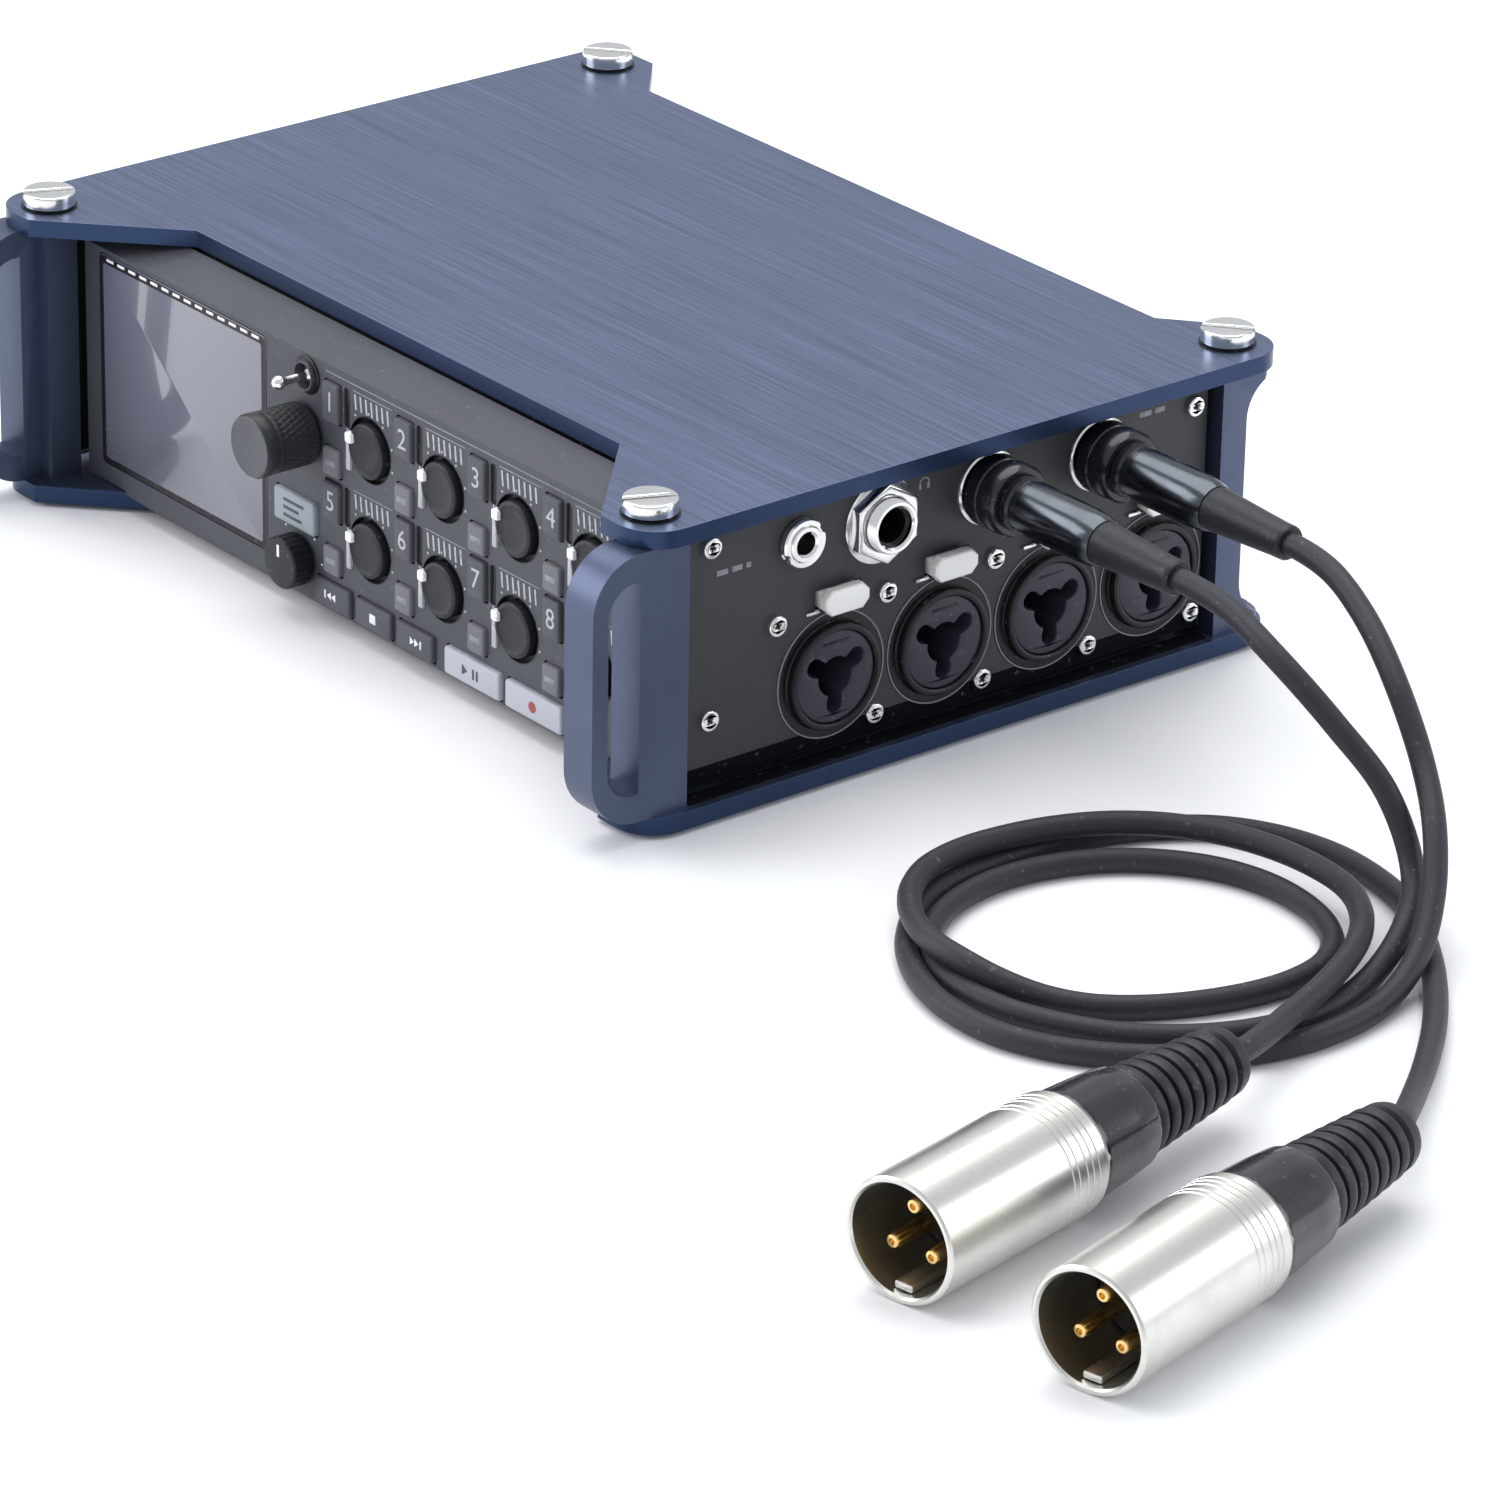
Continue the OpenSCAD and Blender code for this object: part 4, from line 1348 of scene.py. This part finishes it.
@dataclass
class FrontPanel:
    """The fascia with its window, its printed marks and its inserts."""

    face_y: float = FACE_Y
    first: tuple[float, float] = (3.5, 34.6)
    pitch: float = 19.5
    row: float = 17.3
    window: tuple[float, float, float, float] = (-48.85, 26.2, 47.5, 37.6)

    def channel(self, index: int) -> tuple[float, float]:
        """The trim knob's centre of a channel, counted from 1."""
        i = index - 1
        return self.first[0] + self.pitch * (i % 4), self.first[1] - self.row * (i // 4)

    def seat(self) -> Matrix:
        """The seat on the fascia's face."""
        return Facing.FRONT.seat(0, self.face_y, 0)

    def build(self) -> None:
        """Makes the fascia, its marks with their painted shade, and the window."""
        machined("front_fascia", "fascia", "chassis", Slot.FASCIA, FASCIA_GREY, 0.12)
        self.marks()
        self.glass()

    def marks(self) -> None:
        """Prints the level ticks and dots, sets the dark inserts and lays painted shade in the knob wells
        and behind the top plate's front edge.
        """
        stock = Stock(self.seat())
        for i in range(1, 9):
            x, z = self.channel(i)
            for k in range(7):
                u = x - 3.9 + 1.45 * k
                lean = [(u, z + 5.9), (u + 0.42, z + 5.9), (u + 0.12, z + 8.5), (u - 0.3, z + 8.5)]
                stock.cut(lean, 0, 0.05, PALE_INK)
            stock.block((x - 4.6, z + 8.9, 0), (x + 6.0, z + 9.1, 0.05), GREY_INK, 0.02)
            for k in range(7):
                u, v = polar(6.3, math.radians(200 - 36.0 * k), x, z)
                stock.cut(ring(0.22, 10, u, v), 0, 0.05, PALE_INK)
            # Painted shade: the recess round each knob is lined near-black
            well = [(3.2, -1.39), (5.69, -1.39), (5.69, 0.02), (5.55, 0.02), (5.55, -1.34), (3.2, -1.34)]
            stock.turn(well, BLACK_INSERT_AND_SHADE, x, z, 48)
            stock.block((x - 6.9, z + 2.1, -0.79), (x - 5.5, z + 8.7, -0.25), BLACK_INSERT_AND_SHADE, 0.1)
            stock.block((x - 6.0, z - 5.0, -1.3), (x - 4.8, z + 0.2, 0.5), PALE_INK, 0.2)
        stock.block((-8.4, 44.6, 0), (66, 44.8, 0.05), GREY_INK, 0.02)
        # Painted shadow: a black strip behind the top plate's front edge, where the gap lies in shade
        stock.block((-56, 47.2, -9.4), (56, 48.55, -9.1), SHADOW, 0.02)
        for k in range(7):
            u, v = polar(6.0, math.radians(215 - 41.6 * k), *VOLUME_AT)
            stock.cut(ring(0.2, 10, u, v), 0, 0.05, WHITE_INK)
        bezel = [(2.25, 1.1), (2.5, 1.0), (2.5, -0.1), (3.3, -0.1), (3.3, 0.2), (3.1, 0.35), (2.25, 0.4)]
        stock.turn(bezel, BLACK_INSERT_AND_SHADE, *SLATE_AT, 32)
        stock.piece("fascia_marks_and_painted_shade", "chassis", Slot.FASCIA)

    def glass(self) -> None:
        """Makes the display window with its frame and its row of marks."""
        x, z, width, height = self.window
        stock = Stock(self.seat())
        stock.cut(rounded(width, height, 0.9, x, z), -3.0, 0.12, GLASS, soft=0.25)
        edge = rounded(width - 0.3, height - 0.3, 0.8, x, z)
        hole = rounded(width - 2.2, height - 2.6, 0.5, x, z - 0.2)
        stock.cut(edge, 0.12, 0.14, BLACK_INSERT_AND_SHADE, [hole])
        top = z + height / 2
        for k in range(14):
            u = x - width / 2 + 2.2 + 3.2 * k
            stock.block((u, top - 0.95, 0.14), (u + 2.0, top - 0.45, 0.18), WHITE_INK, 0.02)
        stock.piece("window", "chassis", Slot.GLASS, ["display_window"])


@dataclass
class TrimKnob:
    """A nearly flush trim knob with a white pip."""

    index: int
    x: float
    z: float
    face_y: float = FACE_Y

    def build(self) -> bpy.types.Object:
        """Makes the knob on its shaft.

        Returns:
            The knob.
        """
        stock = Stock(Facing.FRONT.seat(self.x, self.face_y, self.z))
        stock.turn([(0, -5.8), (2.8, -5.8), (3.0, -5.6), (3.0, -1.2), (0, -1.2)], KNOB_BLACK)
        side = [(0, -1.2), (4.6, -1.2), (4.7, -1.1), (4.7, 0.6), (4.55, 0.9), (4.25, 1.06), (3.9, 1.1)]
        dish = [(3.7, 0.98), (2.6, 0.86), (0, 0.82)]
        stock.turn([*side, *dish], KNOB_BLACK, sides=72, ripple=flutes(4.6, 0.1, 24, 0.3, -1.0, 0.8))
        stock.block((-4.75, 0.5, 0.6), (-3.1, 2.25, 1.68), PIP_WHITE, 0.3)
        name = f"trim_knob_{self.index}"
        return stock.piece(f"{name}_cap", f"trim_{self.index}", Slot.KNOB, [name])


class Mark(Enum):
    """What is printed on a key."""

    NUMERAL = "numeral"
    BAR = "bar"
    REWIND = "rewind"
    STOP = "stop"
    FORWARD = "forward"
    PLAY = "play"
    RECORD = "record"
    LIST = "list"


# Arrows (place, way, size), bars (left, low, right, high) and ink of each printed sign
KEY_SIGNS: dict[Mark, tuple[Flat, Flat, Finish]] = {
    Mark.BAR: ((), ((-1.3, -0.5, 1.3, 0.5),), GREY_INK),
    Mark.REWIND: (((-0.2, -1, 0.7), (1.0, -1, 0.7)), ((-2.0, -0.7, -1.6, 0.7),), WHITE_INK),
    Mark.FORWARD: (((-1.0, 1, 0.7), (0.2, 1, 0.7)), ((1.6, -0.7, 2.0, 0.7),), WHITE_INK),
    Mark.STOP: ((), ((-0.8, -0.8, 0.8, 0.8),), WHITE_INK),
    Mark.PLAY: (((-2.4, 1, 0.95),), ((0.3, -0.9, 0.8, 0.9), (1.3, -0.9, 1.8, 0.9)), DARK_INK),
    Mark.LIST: (
        (),
        ((-2.8, 1.07, 2.8, 1.63), (-2.8, -0.28, 1.4, 0.28), (-2.8, -1.63, 2.2, -1.07)),
        DARK_INK,
    ),
}


@dataclass
class Key:
    """A silicone key in the fascia, with its rim and plunger."""

    node: str
    body: str
    x: float
    z: float
    width: float
    height: float
    mark: Mark
    slot: Slot
    finish: Finish
    numeral: str = ""
    face_y: float = FACE_Y

    def build(self) -> bpy.types.Object:
        """Makes the key and prints its mark.

        Returns:
            The key.
        """
        stock = Stock(Facing.FRONT.seat(self.x, self.face_y, self.z))
        w, h = self.width, self.height
        stock.cut(rounded(w, h, 0.6), -3.3, 0.8, self.finish, soft=0.45, steps=3)
        stock.cut(rounded(w + 0.7, h + 0.7, 0.9), -4.1, -3.3, self.finish)
        stock.turn([(0, -5.8), (0.8, -5.8), (0.9, -5.7), (0.9, -4.1), (0, -4.1)], self.finish, sides=20)
        self.print_mark(stock)
        return stock.piece(f"{self.node}_cap", self.body, self.slot, [self.node])

    def print_mark(self, stock: Stock) -> None:
        """Adds the printed mark.

        Args:
            stock: The key under construction.
        """
        if self.mark is Mark.NUMERAL:
            stock.write(self.numeral, 4.9, 0.0, 0.0, KEY_TOP, PALE_INK)
        elif self.mark is Mark.RECORD:
            stock.cut(ring(0.95, 24), KEY_TOP, KEY_TOP + 0.04, RED_INK)
        arrows, bars, ink = KEY_SIGNS.get(self.mark, ((), (), GREY_INK))
        for u, way, size in arrows:
            tip = [(u, -size), (u + way * size * 1.5, 0), (u, size)]
            stock.cut(tip, KEY_TOP, KEY_TOP + 0.04, ink)
        for left, low, right, high in bars:
            stock.block((left, low, KEY_TOP), (right, high, KEY_TOP + 0.04), ink, 0.02)


@dataclass
class KeyBank:
    """All keys of the front panel."""

    panel: FrontPanel

    def build(self) -> None:
        """Makes the channel keys, the transport keys and the menu key."""
        for i in range(1, 9):
            x, z = self.panel.channel(i)
            place = (f"track_key_{i}", f"track_{i}", x - 9.9, z + 5.2, 4.4, 6.8)
            Key(*place, Mark.NUMERAL, Slot.KEY, KEY_GREY, str(i)).build()
            place = (f"listen_key_{i}", f"listen_{i}", x - 9.9, z - 5.2, 4.4, 4.8)
            Key(*place, Mark.BAR, Slot.KEY, KEY_SMOKE).build()
        for name, x, width, height, mark, slot, finish in (
            ("rewind", -6.1, 9.6, 4.6, Mark.REWIND, Slot.KEY, KEY_GREY),
            ("stop", 5.1, 9.6, 4.6, Mark.STOP, Slot.KEY, KEY_GREY),
            ("forward", 16.3, 9.6, 4.6, Mark.FORWARD, Slot.KEY, KEY_GREY),
            ("play", 31.6, 14.6, 4.8, Mark.PLAY, Slot.KEY_LIGHT, KEY_PALE),
            ("record", 47.7, 14.6, 4.8, Mark.RECORD, Slot.KEY_LIGHT, KEY_PALE),
        ):
            Key(f"{name}_key", name, x, 5.9, width, height, mark, slot, finish).build()
        Key("menu_key", "menu", -16.6, 17.5, 11.2, 5.8, Mark.LIST, Slot.KEY_LIGHT, KEY_MIST).build()


@dataclass
class Knobs:
    """The menu encoder, the headphone volume knob and the slate lever."""

    face_y: float = FACE_Y
    encoder: tuple[float, float] = (-14.2, 32.1)
    volume: tuple[float, float] = VOLUME_AT
    slate: tuple[float, float] = SLATE_AT

    def build(self) -> None:
        """Makes the two knobs and the lever."""
        self.make_encoder()
        self.make_volume()
        self.make_slate()

    def make_encoder(self) -> None:
        """Makes the knurled encoder knob with its flat face."""
        x, z = self.encoder
        stock = Stock(Facing.FRONT.seat(x, self.face_y, z))

        grip = [(5.35, 1.2 + 0.31 * k) for k in range(24)]
        foot = [(0, -5.8), (3, -5.8), (3, 0.5), (5.0, 0.5), (5.3, 0.9)]
        head = [(5.3, 8.5), (5.4, 8.7), (5.4, 10.6), (5.15, 11.05), (0, 11.1)]
        stock.turn([*foot, *grip, *head], ENCODER_SIDE, sides=200, ripple=self.knurl)
        face = [(0, 11.0), (4.95, 11.0), (5.15, 11.08), (4.95, 11.2), (4.7, 11.16), (0, 11.12)]
        stock.turn(face, ENCODER_FACE, sides=64)
        stock.piece("encoder_grip", "encoder", Slot.ENCODER, ["encoder_knob"])

    @staticmethod
    def knurl(radius: float, height: float, angle: float) -> float:
        """Crossed grooves round the middle of the encoder's grip.

        Args:
            radius: The plain radius.
            height: How far out it is.
            angle: Where it is on the turn.

        Returns:
            The radius with its groove.
        """
        if not 1.3 < height < 8.0 or radius < 5.2:
            return radius
        first = math.sin(34 * angle + height * 2.6)
        second = math.sin(34 * angle - height * 2.6)
        return radius - 0.11 + 0.1 * max(first, second)

    def make_volume(self) -> None:
        """Makes the fluted volume knob with its pointer."""
        x, z = self.volume
        stock = Stock(Facing.FRONT.seat(x, self.face_y, z))
        foot = [(0, -5.8), (3, -5.8), (3, 0.5), (4.25, 0.5)]
        cap = [(4.45, 0.7), (4.45, 4.0), (4.15, 4.3), (3.75, 4.36), (0, 4.32)]
        stock.turn([*foot, *cap], KNOB_BLACK, sides=96, ripple=flutes(4.4, 0.16, 24, 0.2))
        stock.block((-0.55, 1.1, 4.25), (0.05, 3.2, 4.4), PIP_WHITE, 0.06)
        stock.piece("volume_cap", "volume", Slot.KNOB, ["volume_knob"])

    def make_slate(self) -> None:
        """Makes the bright lever with its ball tip."""
        x, z = self.slate
        stock = Stock(Facing.FRONT.seat(x, self.face_y, z))
        angles = [math.pi * k / 12 for k in range(11)]
        ball = [(2.15 * math.sin(a), -1.6 - 2.15 * math.cos(a)) for a in angles]
        angles = [math.pi * k / 10 for k in range(3, 11)]
        tip = [(1.2 * math.sin(a), 5.8 - 1.2 * math.cos(a)) for a in angles]
        stock.turn([*ball, (0.75, 0.7), (0.7, 3.4), (0.8, 4.4), *tip[:-1], (0, 7.0)], CHROME, sides=32)
        stock.piece("slate_toggle", "slate", Slot.STEEL, ["slate_lever"])


# --------------------------------------------------------------------- side panels


@dataclass
class SideFittings:
    """Jacks, latches and screws of both side panels."""

    panel_x: float = 84.9
    jack_y: float = -21.2
    jack_z: float = 17.2
    pitch: float = 22.1
    radius: float = 10.6

    def seat(self, side: int) -> Matrix:
        """The seat on a side panel's face, 1 for the right and -1 for the left."""
        facing = Facing.RIGHT if side > 0 else Facing.LEFT
        return facing.seat(side * self.panel_x, 0, 0)

    def build(self) -> None:
        """Makes everything on the side panels."""
        self.combination_jacks()
        self.latches()
        self.screws()
        self.monitor_jacks()
        self.output_sockets()
        self.printed_marks()

    def places(self, side: int) -> list[tuple[float, float]]:
        """The jacks' centres on a side, in that side's own right and up."""
        return [(side * (self.jack_y + self.pitch * i), self.jack_z) for i in range(4)]

    def combination_jacks(self) -> None:
        """Makes the eight combination jacks."""
        stock = Stock(self.seat(1))
        for side in (1, -1):
            stock.seat = self.seat(side)
            for u, v in self.places(side):
                self.one_jack(stock, u, v)
        stock.piece("jacks", "chassis", Slot.JACK, ["combo_jacks"])

    def one_jack(self, stock: Stock, u: float, v: float) -> None:
        """Adds one combination jack.

        Args:
            stock: The piece that it belongs to.
            u: Its centre, to the right.
            v: Its centre, up.
        """
        r = self.radius
        flange = [(7.7, -13.2), (r, -13.2), (r, 0.1), (r - 0.2, 0.3), (9.2, 0.3), (9.0, 0.5), (9.0, 1.35)]
        hub = [(8.85, 1.65), (8.5, 1.8), (8.15, 1.8), (7.9, 1.65), (7.75, 1.3)]
        stock.turn([*flange, *hub], JACK_BLACK, u, v, 72)
        edge = [(r - 0.12, 0.2), (r + 0.12, 0.2), (r + 0.12, 0.02), (r - 0.12, 0.02)]
        stock.turn(edge, GREY_INK, u, v, 72)
        stock.cut(ring(7.72, 64, u, v), -12.0, 1.35, JACK_FACE, [self.trefoil(u, v)], soft=0.25, steps=3)
        back = [(0, -13.2), (7.7, -13.2), (7.7, -12.2), (3.4, -12.2), (3.25, -12.4), (0, -12.4)]
        stock.turn(back, BLACK_INSERT_AND_SHADE, u, v, 32)
        for degrees in JACK_LOBES:
            at = polar(JACK_PIN_R, math.radians(degrees), u, v)
            stock.turn([(0, -11.9), (0.75, -11.9), (0.75, -9.4), (0, -9.4)], GOLD, *at, 12)
        stock.block((u - 2.6, v + 5.7, 1.3), (u + 2.6, v + 6.1, 1.45), JACK_BLACK, 0.06)

    @staticmethod
    def trefoil(u: float, v: float) -> Flat:
        """The jack's opening: a round bore with three pin lobes.

        Args:
            u: Its centre, to the right.
            v: Its centre, up.

        Returns:
            The outline.
        """
        outline = []
        for k in range(96):
            a = math.tau * k / 96
            reach = 3.3
            for lobe in JACK_LOBES:
                c = math.radians(lobe)
                off = math.atan2(math.sin(a - c), math.cos(a - c))
                across = JACK_PIN_R * math.sin(off)
                if abs(off) < math.pi / 2 and abs(across) < 1.55:
                    reach = max(reach, JACK_PIN_R * math.cos(off) + math.sqrt(1.55**2 - across**2))
            outline.append(polar(reach, a, u, v))
        return outline

    @staticmethod
    def tab(stock: Stock, u: float, v: float) -> None:
        """Adds one release tab.

        Args:
            stock: The piece that it belongs to.
            u: Its middle, to the right.
            v: Its middle, up.
        """
        stock.block((u - 3.6, v - 1.5, -5.0), (u + 3.6, v + 1.5, 1.3), TAB_METAL, 0.2)
        low = [(-4.4, -0.7), (-3.1, -2.1), (3.1, -2.1), (4.4, -0.7)]
        high = [(4.4, 0.9), (3.1, 2.2), (-3.1, 2.2), (-4.4, 0.9)]
        stock.cut([(u + p, v + q) for p, q in (*low, *high)], 1.2, 2.7, TAB_METAL, soft=0.5, steps=4)

    def latches(self) -> None:
        """Makes the release tabs; those of the left side have no joint of their own."""
        for i, (u, v) in enumerate(self.places(1), 1):
            stock = Stock(self.seat(1))
            self.tab(stock, u + 1.2, v + 13.1)
            name = f"release_tab_{i}"
            stock.piece(f"{name}_face", f"release_{i}", Slot.STEEL, [name], 24.0)
        stock = Stock(self.seat(1))
        for side in (1, -1):
            stock.seat = self.seat(side)
            for u, v in self.places(side):
                if side < 0:
                    self.tab(stock, u - 1.2, v + 13.1)
                left = u - side * 4.1
                stock.block((left - 1.3, v + 11.15, 0), (left + 1.3, v + 11.7, 0.55), CHROME, 0.12)
        stock.piece("latch_slivers", "chassis", Slot.STEEL)

    def screws(self) -> None:
        """Makes the small panel screws of both sides."""
        stock = Stock(self.seat(1))
        for side in (1, -1):
            stock.seat = self.seat(side)
            spots = []
            for u, v in self.places(side):
                spots += [(u - side * 11.2, v + 11.2), (u + side * 8.8, v - 9.0)]
            spots += [(side * y, z) for y, z in ((-45.6, 44.9), (-45.6, 15.9), (53.2, 44.3))]
            for n, (u, v) in enumerate(spots):
                cross = self.cross_hole(u, v, 0.35 + 1.1 * n)
                stock.turn([(0, -3), (0.85, -3), (0.85, 0), (0, 0)], CHROME, u, v, 16)
                stock.cut(ring(1.8, 28, u, v), 0.0, 0.98, CHROME, [cross], soft=0.4, steps=3)
                # Painted shade: a near-black disc at the bottom of each cross recess
                stock.turn([(0, 0.02), (1.1, 0.02), (1.1, 0.3), (0, 0.3)], BLACK_INSERT_AND_SHADE, u, v, 16)
        stock.piece("panel_screw_heads", "chassis", Slot.STEEL, ["panel_screws"])

    @staticmethod
    def cross_hole(u: float, v: float, angle: float) -> Flat:
        """The recess of a cross-head screw.

        Args:
            u: Its centre, to the right.
            v: Its centre, up.
            angle: How far it is turned.

        Returns:
            The outline.
        """
        a, b = 0.62, 0.2
        upper = [(a, -b), (a, b), (b, b), (b, a), (-b, a), (-b, b)]
        corners = [*upper, *[(-p, -q) for p, q in upper]]
        c, s = math.cos(angle), math.sin(angle)
        return [(u + p * c - q * s, v + p * s + q * c) for p, q in corners]

    def monitor_jacks(self) -> None:
        """Makes the 3.5 mm socket and the threaded headphone socket."""
        stock = Stock(self.seat(1))
        u, v = -27.9, 41.4
        nut = [(1.8, -11), (3.0, -11), (3.0, 0), (3.9, 0), (4.1, 0.2), (4.1, 1.3), (3.85, 1.6), (3.1, 1.6)]
        bush = [(3.0, 1.5), (3.0, 1.85), (2.85, 2.0), (2.2, 2.0), (1.8, 1.6)]
        stock.turn([*nut, *bush], CHROME, u, v, 48, ripple=self.slotted)
        stock.turn([(0, -10), (1.9, -10), (1.9, -6), (0, -6)], BLACK_INSERT_AND_SHADE, u, v, 20)
        u, v = -11.8, 40.8
        hexagon = ring(6.8, 6, u, v, math.pi / 6)
        stock.cut(hexagon, 0.0, 2.2, CHROME, [ring(4.45, 32, u, v)], soft=0.35, steps=3)
        thread = []
        for k in range(5):
            thread += [(4.4, 2.2 + 0.34 * k), (4.22, 2.37 + 0.34 * k)]
        mouth = [(4.35, 3.85), (4.2, 4.0), (3.7, 4.0), (3.35, 3.7)]
        stock.turn([(3.3, -9), (4.4, -9), (4.4, 0), *thread, *mouth], CHROME, u, v, 48)
        stock.turn([(0, -8.5), (3.4, -8.5), (3.4, -6), (0, -6)], BLACK_INSERT_AND_SHADE, u, v, 24)
        stock.turn([(2.9, 2.6), (3.34, 2.6), (3.34, -6), (2.9, -6)], BLACK_INSERT_AND_SHADE, u, v, 24)
        stock.turn([(4.5, 0), (7.1, 0), (7.1, 0.25), (6.9, 0.35), (4.5, 0.35)], CHROME, u, v, 48)
        stock.piece("monitor_sockets", "chassis", Slot.STEEL, ["monitor_jacks"])

    @staticmethod
    def slotted(radius: float, height: float, angle: float) -> float:
        """Two slots across the small socket's nut.

        Args:
            radius: The plain radius.
            height: How far out it is.
            angle: Where it is on the turn.

        Returns:
            The radius with its slot.
        """
        inside = radius > 3.8 and height > 0 and math.cos(2 * (angle - 0.5)) > 0.95
        return radius - 0.45 if inside else radius

    def output_sockets(self) -> None:
        """Makes the bright collars of the two output sockets."""
        stock = Stock(self.seat(1))
        tube = [(4.6, -8), (5.6, -8), (5.6, 0)]
        lip = [(6.2, 0), (6.3, 0.15), (6.2, 0.5), (5.75, 0.8), (5.0, 0.8), (4.6, 0.5)]
        for u, v in ((10, 41), (33, 41)):
            stock.turn([*tube, *lip], CHROME, u, v, 56)
            stock.turn([(0, -9.9), (5.5, -9.9), (5.5, -8), (0, -8)], BLACK_INSERT_AND_SHADE, u, v, 32)
        stock.piece("output_collars", "chassis", Slot.STEEL, ["output_sockets"])

    def printed_marks(self) -> None:
        """Prints plain bars and signs beside the sockets, in place of words, and lays painted shadow strips
        low on both side panels.
        """
        stock = Stock(self.seat(1))
        for u, v, widths in ((-44.2, 39.6, (2.2, 2.0, 0.9)), (41.5, 44.9, (2.6, 2.0))):
            for width in widths:
                stock.block((u, v, 0), (u + width, v + 0.9, 0.04), GREY_INK, 0.02)
                u += width + 0.8
        for k in range(9):
            a, b = math.pi * k / 9, math.pi * (k + 1) / 9
            corners = ((1.1, a), (1.1, b), (0.85, b), (0.85, a))
            stock.cut([polar(r, t, -3, 44.8) for r, t in corners], 0, 0.04, GREY_INK)
        for u in (-4.1, -2.4):
            stock.block((u, 43.9, 0), (u + 0.5, 44.9, 0.04), GREY_INK, 0.02)
        for side in (1, -1):
            stock.seat = self.seat(side)
            low, high = sorted((side * -50.9, side * 55.9))
            # Painted shadow: a black band along each panel's lower edge and a black strip over the bottom
            # plate's ledge below it, where the gap lies in shade
            stock.block((low, 5.25, -0.5), (high, 8.2, 0.05), SHADOW, 0.04)
            stock.block((low, 3.82, -0.5), (high, 3.95, 2.7), SHADOW, 0.04)
        stock.piece("side_marks_and_painted_shade", "chassis", Slot.PANEL)


@dataclass
class RearFittings:
    """The rear sockets."""

    panel_y: float = 57.4
    bayonets: tuple[tuple[float, float], ...] = ((-52.0, 33.0), (-30.0, 33.0))
    power: tuple[float, float] = (48.0, 32.0)

    def build(self) -> None:
        """Makes two bayonet sockets and the four-pin power socket."""
        stock = Stock(Facing.REAR.seat(0, self.panel_y, 0))
        flange = [(4.1, -5), (4.8, -5), (4.8, 0), (6.1, 0), (6.3, 0.2), (6.3, 1.0), (6.1, 1.2)]
        barrel = [(4.8, 1.2), (4.8, 7.7), (4.6, 8.0), (4.2, 8.0), (4.1, 7.8)]
        core = [(0.55, -1), (2.4, -1), (2.4, 5.8), (2.2, 6.0), (0.75, 6.0), (0.55, 5.8)]
        for x, v in self.bayonets:
            u = -x
            stock.turn([*flange, *barrel], CHROME, u, v, 48)
            stock.turn(core, INSULATOR, u, v, 24)
            stock.turn([(0, -2), (4.15, -2), (4.15, -1), (0, -1)], BLACK_INSERT_AND_SHADE, u, v, 24)
            stock.turn([(0, -1), (0.4, -1), (0.4, 4.5), (0, 4.6)], GOLD, u, v, 12)
            for way in (-1, 1):
                lug = v + way * 4.75
                stock.block((u - 0.7, lug - 0.45, 5.2), (u + 0.7, lug + 0.45, 6.4), CHROME, 0.15)
        u, v = -self.power[0], self.power[1]
        shell = [(4.4, -7), (5.0, -7), (5.0, 0), (5.9, 0), (6.0, 0.15), (6.0, 1.3), (5.8, 1.5), (4.6, 1.5)]
        stock.turn([*shell, (4.4, 1.3)], CHROME, u, v, 48)
        stock.turn([(0, -6), (4.45, -6), (4.45, -0.9), (0, -0.9)], BLACK_INSERT_AND_SHADE, u, v, 32)
        for k in range(4):
            at = polar(2.2, math.pi / 4 + math.pi / 2 * k, u, v)
            stock.turn([(0, -1), (0.5, -1), (0.5, 0.5), (0.3, 0.7), (0, 0.7)], GOLD, *at, 12)
        stock.piece("rear_jacks", "chassis", Slot.STEEL, ["rear_sockets"])


def main() -> None:
    """Builds the studio and the recorder, and reports each piece."""
    logging.basicConfig(level=logging.INFO, format="%(name)s: %(message)s")
    Studio().build()
    CordSet().build()
    Case().build()
    panel = FrontPanel()
    panel.build()
    for index in range(1, 9):
        x, z = panel.channel(index)
        TrimKnob(index, x, z).build()
    KeyBank(panel).build()
    Knobs().build()
    SideFittings().build()
    RearFittings().build()


if __name__ == "__main__":
    main()
